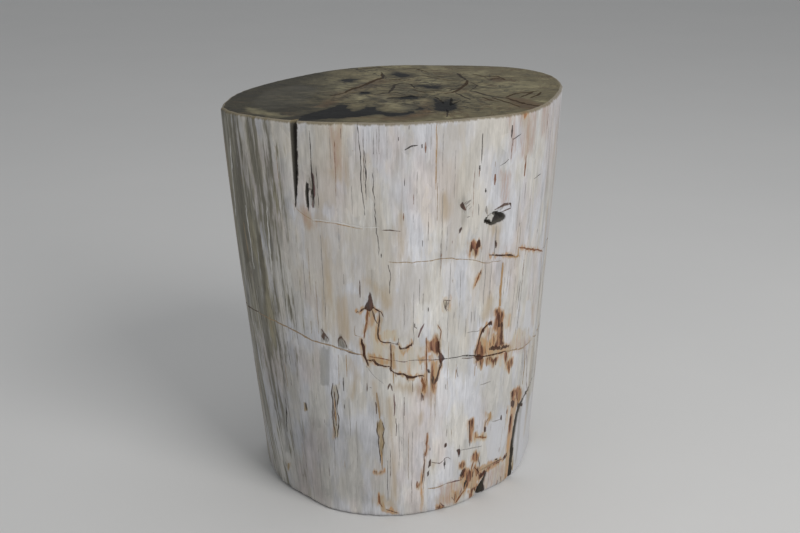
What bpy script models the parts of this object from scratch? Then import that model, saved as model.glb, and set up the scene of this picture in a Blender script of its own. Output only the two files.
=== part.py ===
"""Petrified wood stool: one length of fossil log, sawn flat at both ends.

The body is a loft between three unlike outlines, at the foot, the waist and
the top: a drum with its points moved onto the loft and its rims rolled. The
groove, slots, open crack, foot notch and knot hole are cut into it.

Lengths are metres and +Z is up. The origin is the centre of the footprint,
on the ground. -Y is the face that the photo shows.
"""
import math

import bmesh
import bpy
from mathutils import Matrix, Vector

# Overall sizes
HEIGHT = 0.420
TOP_RIM = 0.003
FOOT_RIM = 0.005
RIM_STEPS = 3
RING_POINTS = 120
RINGS = 12

# Where the loft's axis stands from the middle of the footprint
AXIS_X = 0.0014
AXIS_Y = 0.0030

# Radius of each outline at every 15 degrees, anticlockwise from +X
TOP_RADII = (
    0.167, 0.178, 0.189, 0.188, 0.170, 0.156,
    0.151, 0.146, 0.142, 0.138, 0.139, 0.147,
    0.162, 0.179, 0.196, 0.187, 0.174, 0.162,
    0.157, 0.153, 0.153, 0.160, 0.161, 0.161,
)
WAIST_RADII = (
    0.156, 0.166, 0.179, 0.176, 0.160, 0.152,
    0.148, 0.144, 0.141, 0.141, 0.144, 0.152,
    0.160, 0.169, 0.175, 0.166, 0.160, 0.153,
    0.149, 0.145, 0.142, 0.145, 0.147, 0.151,
)
FOOT_RADII = (
    0.142, 0.156, 0.170, 0.167, 0.153, 0.148,
    0.145, 0.141, 0.140, 0.142, 0.147, 0.155,
    0.150, 0.146, 0.143, 0.141, 0.144, 0.143,
    0.139, 0.134, 0.130, 0.126, 0.131, 0.136,
)

# V-shaped cuts in the side. Each station is an angle in degrees, a height,
# the width of the cut at the surface, and its depth.
GROOVE = (
    (236.0, 0.4300, 0.0064, 0.0075),
    (235.6, 0.3920, 0.0058, 0.0070),
    (235.2, 0.3620, 0.0044, 0.0052),
    (234.6, 0.3350, 0.0014, 0.0016),
)
SLOT = (
    (238.8, 0.3610, 0.0012, 0.0015),
    (238.7, 0.3510, 0.0036, 0.0050),
    (238.8, 0.3420, 0.0034, 0.0050),
    (238.9, 0.3330, 0.0010, 0.0015),
)
SIDE_SLOT = (
    (241.0, 0.3690, 0.0010, 0.0014),
    (240.8, 0.3560, 0.0020, 0.0030),
    (240.5, 0.3430, 0.0010, 0.0014),
)
OPEN_CRACK = (
    (357.0, 0.1010, 0.0018, 0.0030),
    (350.0, 0.0990, 0.0032, 0.0060),
    (342.6, 0.0940, 0.0054, 0.0080),
    (337.6, 0.0870, 0.0080, 0.0095),
    (335.2, 0.0790, 0.0094, 0.0105),
    (334.4, 0.0600, 0.0094, 0.0110),
    (333.9, 0.0420, 0.0090, 0.0110),
    (334.4, 0.0230, 0.0082, 0.0110),
    (334.4, -0.0060, 0.0082, 0.0110),
)
FOOT_NOTCH = (
    (315.6, 0.0230, 0.0036, 0.0040),
    (313.6, 0.0140, 0.0086, 0.0085),
    (311.4, 0.0060, 0.0124, 0.0115),
    (309.4, -0.0060, 0.0144, 0.0125),
)
CUT_OVERHANG = 0.0040

# The knot hole is a flattened ball let into the side
KNOT_ANGLE = 307.8
KNOT_HEIGHT = 0.3175
KNOT_HALF_LENGTH = 0.0115
KNOT_HALF_HEIGHT = 0.0048
KNOT_DEPTH = 0.0085
KNOT_TILT = 16.0

STONE_COLOUR = (0.56, 0.52, 0.46, 1.0)
STONE_ROUGHNESS = 0.35


def outline_radius(radii, angle):
    """Radius at an angle, on a closed curve through the control radii."""
    place = angle / (2 * math.pi) * len(radii)
    first = math.floor(place)
    t = place - first
    a, b, c, d = (radii[(first + step) % len(radii)] for step in (-1, 0, 1, 2))
    slope = c - a
    bend = 2 * a - 5 * b + 4 * c - d
    twist = 3 * b - a - 3 * c + d
    return b + 0.5 * t * (slope + t * (bend + t * twist))


def loft_radius(angle, height):
    """Radius of the side: a parabola in height through the three outlines."""
    s = height / HEIGHT
    foot = outline_radius(FOOT_RADII, angle)
    waist = outline_radius(WAIST_RADII, angle)
    top = outline_radius(TOP_RADII, angle)
    return foot * (1 - s) * (1 - 2 * s) + waist * 4 * s * (1 - s) + top * s * (2 * s - 1)


def side_point(angle, height):
    """Point of the side at an angle and a height."""
    radius = loft_radius(angle, height)
    return Vector((AXIS_X + radius * math.cos(angle), AXIS_Y + radius * math.sin(angle), height))


def side_normal(angle, height):
    """Outward normal of the side, from two short steps along it."""
    step = 0.01
    around = side_point(angle + step, height) - side_point(angle - step, height)
    upward = side_point(angle, height + step) - side_point(angle, height - step)
    return around.cross(upward).normalized()


def stone_material():
    """Pale fossil wood, ground smooth."""
    material = bpy.data.materials.new("pale_fossil_wood")
    material.use_nodes = True
    shader = material.node_tree.nodes["Principled BSDF"]
    shader.inputs["Base Color"].default_value = STONE_COLOUR
    shader.inputs["Roughness"].default_value = STONE_ROUGHNESS
    shader.inputs["Metallic"].default_value = 0.0
    return material


def object_from(bm, name, collection):
    """Close a bmesh into a named object of a collection."""
    bmesh.ops.recalc_face_normals(bm, faces=bm.faces)
    mesh = bpy.data.meshes.new(name)
    bm.to_mesh(mesh)
    bm.free()
    piece = bpy.data.objects.new(name, mesh)
    collection.objects.link(piece)
    return piece


def stool_body(collection):
    """The log: a drum with its points moved onto the loft, and its rims rolled."""
    bm = bmesh.new()
    bmesh.ops.create_cone(
        bm, cap_ends=True, segments=RING_POINTS, radius1=1.0, radius2=1.0, depth=1.0
    )
    uprights = [edge for edge in bm.edges if abs(edge.verts[0].co.z - edge.verts[1].co.z) > 0.5]
    bmesh.ops.subdivide_edges(bm, edges=uprights, cuts=RINGS - 1)
    for vertex in bm.verts:
        angle = math.atan2(vertex.co.y, vertex.co.x) % (2 * math.pi)
        vertex.co = side_point(angle, HEIGHT * (vertex.co.z + 0.5))
    for level, rim_size in ((0.0, FOOT_RIM), (HEIGHT, TOP_RIM)):
        rim = [edge for edge in bm.edges if all(abs(v.co.z - level) < 1e-6 for v in edge.verts)]
        bmesh.ops.bevel(
            bm, geom=rim, offset=rim_size, segments=RIM_STEPS, profile=0.5, affect="EDGES"
        )
    return object_from(bm, "petrified_wood_stool", collection)


def wedge_section(bm, station, along):
    """Three vertices of a V-shaped cut: left lip, right lip and tip."""
    degrees, height, width, depth = station
    angle = math.radians(degrees)
    surface = side_point(angle, height)
    normal = side_normal(angle, height)
    across = along.cross(normal).normalized()
    half = 0.5 * width * (depth + CUT_OVERHANG) / depth
    lip = surface + normal * CUT_OVERHANG
    places = (lip - across * half, lip + across * half, surface - normal * depth)
    return [bm.verts.new(place) for place in places]


def wedge_cutter(name, stations, collection):
    """A tapering wedge that follows its stations along the side."""
    bm = bmesh.new()
    centres = [side_point(math.radians(row[0]), row[1]) for row in stations]
    sections = []
    for index, station in enumerate(stations):
        before = centres[max(index - 1, 0)]
        after = centres[min(index + 1, len(centres) - 1)]
        sections.append(wedge_section(bm, station, after - before))
    for first, second in zip(sections, sections[1:]):
        for k in range(3):
            n = (k + 1) % 3
            bm.faces.new((first[k], first[n], second[n], second[k]))
    bm.faces.new(sections[0])
    bm.faces.new(sections[-1])
    return object_from(bm, name, collection)


def knot_cutter(collection):
    """A flattened ball across the grain, tilted up to the right."""
    angle = math.radians(KNOT_ANGLE)
    normal = side_normal(angle, KNOT_HEIGHT)
    level = Vector((0.0, 0.0, 1.0)).cross(normal).normalized()
    upward = normal.cross(level)
    tilt = Matrix.Rotation(math.radians(-KNOT_TILT), 3, normal)
    bm = bmesh.new()
    bmesh.ops.create_uvsphere(bm, u_segments=16, v_segments=10, radius=1.0)
    for vertex in bm.verts:
        x, y, z = vertex.co
        offset = level * (x * KNOT_HALF_LENGTH) + upward * (y * KNOT_HALF_HEIGHT)
        vertex.co = side_point(angle, KNOT_HEIGHT) + tilt @ offset + normal * (z * KNOT_DEPTH)
    return object_from(bm, "knot_hole_cutter", collection)


def cut(body, cutter):
    """Take a cutter out of the body, and leave it as a hidden wire guide."""
    cutter.hide_render = True
    cutter.display_type = "WIRE"
    boolean = body.modifiers.new(cutter.name, "BOOLEAN")
    boolean.operation = "DIFFERENCE"
    boolean.solver = "EXACT"
    boolean.object = cutter


def main():
    """Build the stool in a collection of its own, with the cutters beside it."""
    for old in list(bpy.data.objects):
        bpy.data.objects.remove(old, do_unlink=True)
    stool = bpy.data.collections.new("petrified_wood_stool")
    cutters = bpy.data.collections.new("cutters")
    for collection in (stool, cutters):
        bpy.context.scene.collection.children.link(collection)

    body = stool_body(stool)
    body.data.materials.append(stone_material())
    body.data.shade_smooth()
    body.data.set_sharp_from_angle(angle=math.radians(40.0))

    cuts = {
        "groove_cutter": GROOVE,
        "slot_cutter": SLOT,
        "side_slot_cutter": SIDE_SLOT,
        "open_crack_cutter": OPEN_CRACK,
        "foot_notch_cutter": FOOT_NOTCH,
    }
    for name, stations in cuts.items():
        cut(body, wedge_cutter(name, stations, cutters))
    cut(body, knot_cutter(cutters))


main()
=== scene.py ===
"""Petrified wood stool: the finished look of one length of fossil log.

One closed mesh stands for the log. Its form repeats the sizes of the solid
part, with the flutes, cuts and rims modelled finely. The stone's marks are
kept on the mesh as distances to each hairline, vein and stain, and the
materials turn those distances into colour, gloss and relief.
"""
import math

import bpy
import numpy as np
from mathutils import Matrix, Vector
from mathutils.geometry import delaunay_2d_cdt


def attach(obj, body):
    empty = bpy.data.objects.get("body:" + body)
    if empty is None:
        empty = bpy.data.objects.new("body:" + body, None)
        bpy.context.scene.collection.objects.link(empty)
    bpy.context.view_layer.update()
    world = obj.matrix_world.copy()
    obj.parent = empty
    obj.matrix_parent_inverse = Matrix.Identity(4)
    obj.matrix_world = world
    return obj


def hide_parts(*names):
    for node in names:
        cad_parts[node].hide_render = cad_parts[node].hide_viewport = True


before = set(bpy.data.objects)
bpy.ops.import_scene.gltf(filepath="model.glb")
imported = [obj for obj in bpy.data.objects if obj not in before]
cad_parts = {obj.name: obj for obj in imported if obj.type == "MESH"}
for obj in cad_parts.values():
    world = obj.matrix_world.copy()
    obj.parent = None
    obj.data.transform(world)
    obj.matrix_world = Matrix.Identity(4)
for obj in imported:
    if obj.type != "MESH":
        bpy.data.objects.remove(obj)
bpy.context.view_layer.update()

# Form of the log, in metres, as in the solid part
HEIGHT = 0.420
TOP_RIM = 0.003
FOOT_RIM = 0.005
AXIS = np.array((0.0014, 0.0030))

# Radius of each outline at every 15 degrees, anticlockwise from +X
TOP_RADII = (
    0.167, 0.178, 0.189, 0.188, 0.170, 0.156,
    0.151, 0.146, 0.142, 0.138, 0.139, 0.147,
    0.162, 0.179, 0.196, 0.187, 0.174, 0.162,
    0.157, 0.153, 0.153, 0.160, 0.161, 0.161,
)
WAIST_RADII = (
    0.156, 0.166, 0.179, 0.176, 0.160, 0.152,
    0.148, 0.144, 0.141, 0.141, 0.144, 0.152,
    0.160, 0.169, 0.175, 0.166, 0.160, 0.153,
    0.149, 0.145, 0.142, 0.145, 0.147, 0.151,
)
FOOT_RADII = (
    0.142, 0.156, 0.170, 0.167, 0.153, 0.148,
    0.145, 0.141, 0.140, 0.142, 0.147, 0.155,
    0.150, 0.146, 0.143, 0.141, 0.144, 0.143,
    0.139, 0.134, 0.130, 0.126, 0.131, 0.136,
)
GRAIN_RADIUS = 0.155

# V-shaped cuts: angle in degrees, height, width at the surface, depth
GROOVE = (
    (236.0, 0.4300, 0.0064, 0.0075),
    (235.6, 0.3920, 0.0058, 0.0070),
    (235.2, 0.3620, 0.0044, 0.0052),
    (234.6, 0.3350, 0.0014, 0.0016),
)
SLOT = (
    (238.8, 0.3610, 0.0012, 0.0015),
    (238.7, 0.3510, 0.0036, 0.0050),
    (238.8, 0.3420, 0.0034, 0.0050),
    (238.9, 0.3330, 0.0010, 0.0015),
)
SIDE_SLOT = (
    (241.0, 0.3690, 0.0010, 0.0014),
    (240.8, 0.3560, 0.0020, 0.0030),
    (240.5, 0.3430, 0.0010, 0.0014),
)
OPEN_CRACK = (
    (357.0, 0.1010, 0.0018, 0.0030),
    (350.0, 0.0990, 0.0032, 0.0060),
    (342.6, 0.0940, 0.0054, 0.0080),
    (337.6, 0.0870, 0.0080, 0.0095),
    (335.2, 0.0790, 0.0094, 0.0105),
    (334.4, 0.0600, 0.0094, 0.0110),
    (333.9, 0.0420, 0.0090, 0.0110),
    (334.4, 0.0230, 0.0082, 0.0110),
    (334.4, -0.0060, 0.0082, 0.0110),
)
FOOT_NOTCH = (
    (315.6, 0.0230, 0.0036, 0.0040),
    (313.6, 0.0140, 0.0086, 0.0085),
    (311.4, 0.0060, 0.0124, 0.0115),
    (309.4, -0.0060, 0.0144, 0.0125),
)
CUTS = (GROOVE, SLOT, SIDE_SLOT, OPEN_CRACK, FOOT_NOTCH)

# The knot hole: its depth, the slope of its sides, and the outlines of the hole
# and of the chip of stone left standing in it, in pixels of the photo
KNOT_DEPTH = 0.0072
KNOT_BEVEL = 0.0022
KNOT_OUTLINE = (
    (484, 220), (486, 218), (490, 214.4), (493, 212.4), (497, 211.6), (503, 212.8), (506, 216),
    (505, 219.6), (500, 221.8), (495, 224), (492, 225.6), (488, 224), (484.4, 222.6),
)
CHIP_OUTLINE = (
    (487, 219.2), (490.4, 215.4), (492, 213.8), (496.2, 213.8), (495, 216.6), (493.2, 219),
    (492.8, 222.8), (490, 221.6),
)

# The photo's camera: image size, focal length in pixels, pitch and place
PHOTO_WIDTH = 800
PHOTO_HEIGHT = 533
FOCAL_PIXELS = 1256.0
PITCH = math.radians(19.0)
CAMERA_PLACE = np.array((0.0013, -1.2845, 0.6704))

# Mesh spacing in metres. Each stretch is from, to, spacing; the first that
# holds a place sets the spacing there.
COLUMN_STRETCHES = (
    (233.6, 242.4, 0.0008),
    (302.8, 316.0, 0.0011),
    (331.0, 338.0, 0.0011),
    (338.0, 358.0, 0.0017),
    (250.0, 316.0, 0.0014),
    (190.0, 331.0, 0.0019),
)
COLUMN_BACK = 0.0048
ROW_STRETCHES = (
    (0.150, 0.235, 0.0018),
    (0.300, 0.336, 0.0016),
    (0.070, 0.108, 0.0020),
)
ROW_STEP = 0.0026
RIM_STEPS = 4
TOP_STEP = 0.0030
FOOT_STEP = 0.0090

SIDE_FIELDS = (
    "wash", "tan", "grey", "slab", "olive", "cream", "mustard", "ochre", "rust", "deep", "pit",
    "chip", "smooth", "blush", "light", "painted_shade",
)
TOP_FIELDS = ("rust", "pit", "tan", "grey")
SEED = 20
FAR = 0.010
LAYER_COUNT = 5

# Tones of the thin marks
INK = 0.0
SLATE = 0.1
UMBER = 0.2
TAN = 0.3
RUST = 0.4
OCHRE = 0.5
PLUM = 0.6
DARK_RUST = 0.7
BARK = 0.8
# Tone of the painted highlights
PAINTED_HIGHLIGHT = 0.9

# Shallow flutes of the left flank: across in pixels of the photo at one row,
# half width and depth in millimetres
FLUTE_ROW = 200
FLUTES = (
    (239.0, 4.5, 1.3), (248.5, 3.0, 0.5), (257.0, 3.2, 1.2), (266.0, 3.0, 0.7),
    (273.0, 3.0, 0.9), (284.0, 3.5, 0.4), (545.5, 2.2, 0.5), (550.5, 2.4, 0.6),
)

# Upright marks of the front: across, top and bottom in pixels of the photo,
# and half the width in millimetres
UPRIGHTS = {
    INK: (
        (482.0, 132, 164, 0.45), (479.6, 165, 170, 1.0), (485.6, 188.5, 193, 0.9),
        (409.0, 123, 131, 0.30), (398.5, 136, 142, 0.35), (404.5, 178, 187, 0.35),
        (511.7, 125, 138, 1.1), (422.0, 143.5, 149, 0.90), (360.5, 154, 160, 0.50),
        (366.0, 169, 178, 0.85), (381.2, 253, 258, 0.60), (422.4, 240, 248, 0.35),
        (495.6, 240, 248, 0.90), (537.5, 229, 234, 0.45), (519.5, 222, 227, 0.45),
        (414.8, 323, 328, 0.60), (428.3, 307, 312, 0.50), (458.9, 449, 458, 0.80),
        (432.9, 376, 384, 1.2), (428.6, 369, 374, 1.2), (501.2, 415, 420, 0.70),
        (445.7, 443.5, 447.5, 0.60), (430.0, 447, 451, 0.50), (306.0, 402, 411, 1.1),
        (343.6, 377, 392, 0.60), (344.4, 403, 409, 0.55), (380.4, 454, 464, 0.55),
        (444.5, 458, 469, 0.55), (317.0, 166, 208, 0.30), (312.2, 160, 208, 0.75),
        (310.5, 130, 166, 0.35), (252.0, 385, 430, 0.5),
    ),
    SLATE: (
        (379.0, 124, 155, 0.30), (442.0, 188, 258, 0.32), (518.4, 186, 232, 0.30),
        (519.8, 222, 247, 0.35), (525.2, 182, 201, 0.50), (413.4, 292, 330, 0.25),
        (419.5, 279, 304, 0.38), (423.0, 293, 311, 0.35), (484.4, 260, 311, 0.32),
        (490.5, 260, 299, 0.28), (501.6, 261, 274, 0.35), (507.0, 271, 292, 0.35),
        (533.0, 280, 296, 0.45), (471.4, 311, 325, 0.32), (474.8, 310, 322, 0.32),
        (479.4, 315, 327, 0.32), (465.6, 318, 337, 0.40), (453.9, 311, 319, 0.40),
        (343.8, 274, 285, 0.40), (339.0, 228, 250, 0.25), (352.0, 185, 215, 0.22),
        (330.0, 130, 170, 0.22), (387.0, 126, 160, 0.22), (417.0, 170, 215, 0.20),
        (431.0, 124, 150, 0.22), (455.0, 150, 200, 0.22), (495.0, 226, 262, 0.45),
        (547.6, 128, 162, 0.35), (541.0, 180, 230, 0.22), (283.0, 385, 450, 0.8),
        (289.5, 385, 446, 0.7), (296.0, 300, 345, 0.40), (304.0, 255, 300, 0.35),
        (322.0, 235, 300, 0.30), (334.0, 405, 470, 0.30), (350.0, 398, 440, 0.28),
        (357.0, 420, 470, 0.25), (404.0, 300, 330, 0.22), (450.0, 262, 300, 0.22),
        (460.0, 270, 330, 0.20), (372.0, 268, 290, 0.25), (399.0, 420, 470, 0.22),
        (412.0, 430, 476, 0.25), (320.0, 440, 490, 0.30), (301.0, 450, 486, 0.35),
        (313.0, 470, 500, 0.30), (520.0, 268, 330, 0.25), (512.5, 275, 330, 0.22),
    ),
    UMBER: (
        (360.0, 280, 298, 0.70), (367.1, 383, 392, 0.65), (404.2, 397, 416, 0.55),
        (518.6, 281, 309, 0.60), (481.0, 269, 275, 0.40), (421.4, 393, 402, 0.45),
        (329.3, 463, 476, 0.40), (466.5, 472, 482, 1.0), (464.0, 482, 490, 0.90),
        (497.0, 480, 488, 0.6), (511.9, 359, 368, 0.45), (506.8, 355, 366, 0.40),
        (495.4, 358, 365, 0.90), (454.5, 493, 503, 0.45), (412.6, 380, 392, 0.35),
    ),
    RUST: (
        (425.6, 142, 153, 1.0), (479.2, 169, 178, 0.45), (494.8, 174, 185, 1.3),
        (547.8, 114, 129, 0.70), (525.4, 156, 176, 1.3), (403.4, 213, 221, 0.50),
        (426.4, 340, 371, 0.40), (469.4, 432, 443, 0.70), (510.2, 415, 428, 0.90),
        (461.0, 487, 496, 0.50), (469.4, 493, 499, 0.60), (476.5, 359, 366, 0.60),
        (486.3, 361, 367, 0.50), (492.8, 362, 368, 0.50), (509.2, 369, 374, 0.50),
        (419.9, 381, 387, 0.50), (423.6, 386, 400, 0.45), (506.8, 409, 414, 0.80),
        (484.7, 426, 432, 0.85), (482.4, 434, 439, 0.6), (417.0, 481, 488, 1.2),
        (522.9, 259, 276, 0.45), (511.8, 137, 160, 0.40), (499.0, 447, 452, 0.4),
    ),
    OCHRE: (
        (501.0, 262, 306, 1.30), (393.5, 343, 384, 0.70), (480.7, 364, 371, 0.70),
        (369.6, 308, 317, 0.70), (373.6, 311, 319, 0.60), (436.3, 124, 190, 0.60),
        (490.0, 412, 421, 1.6), (518.8, 389, 405, 1.8), (470.5, 486, 492, 0.9),
        (475.0, 360, 376, 0.5), (456.0, 364, 380, 0.4), (346.5, 349, 378, 0.4),
    ),
}

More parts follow.
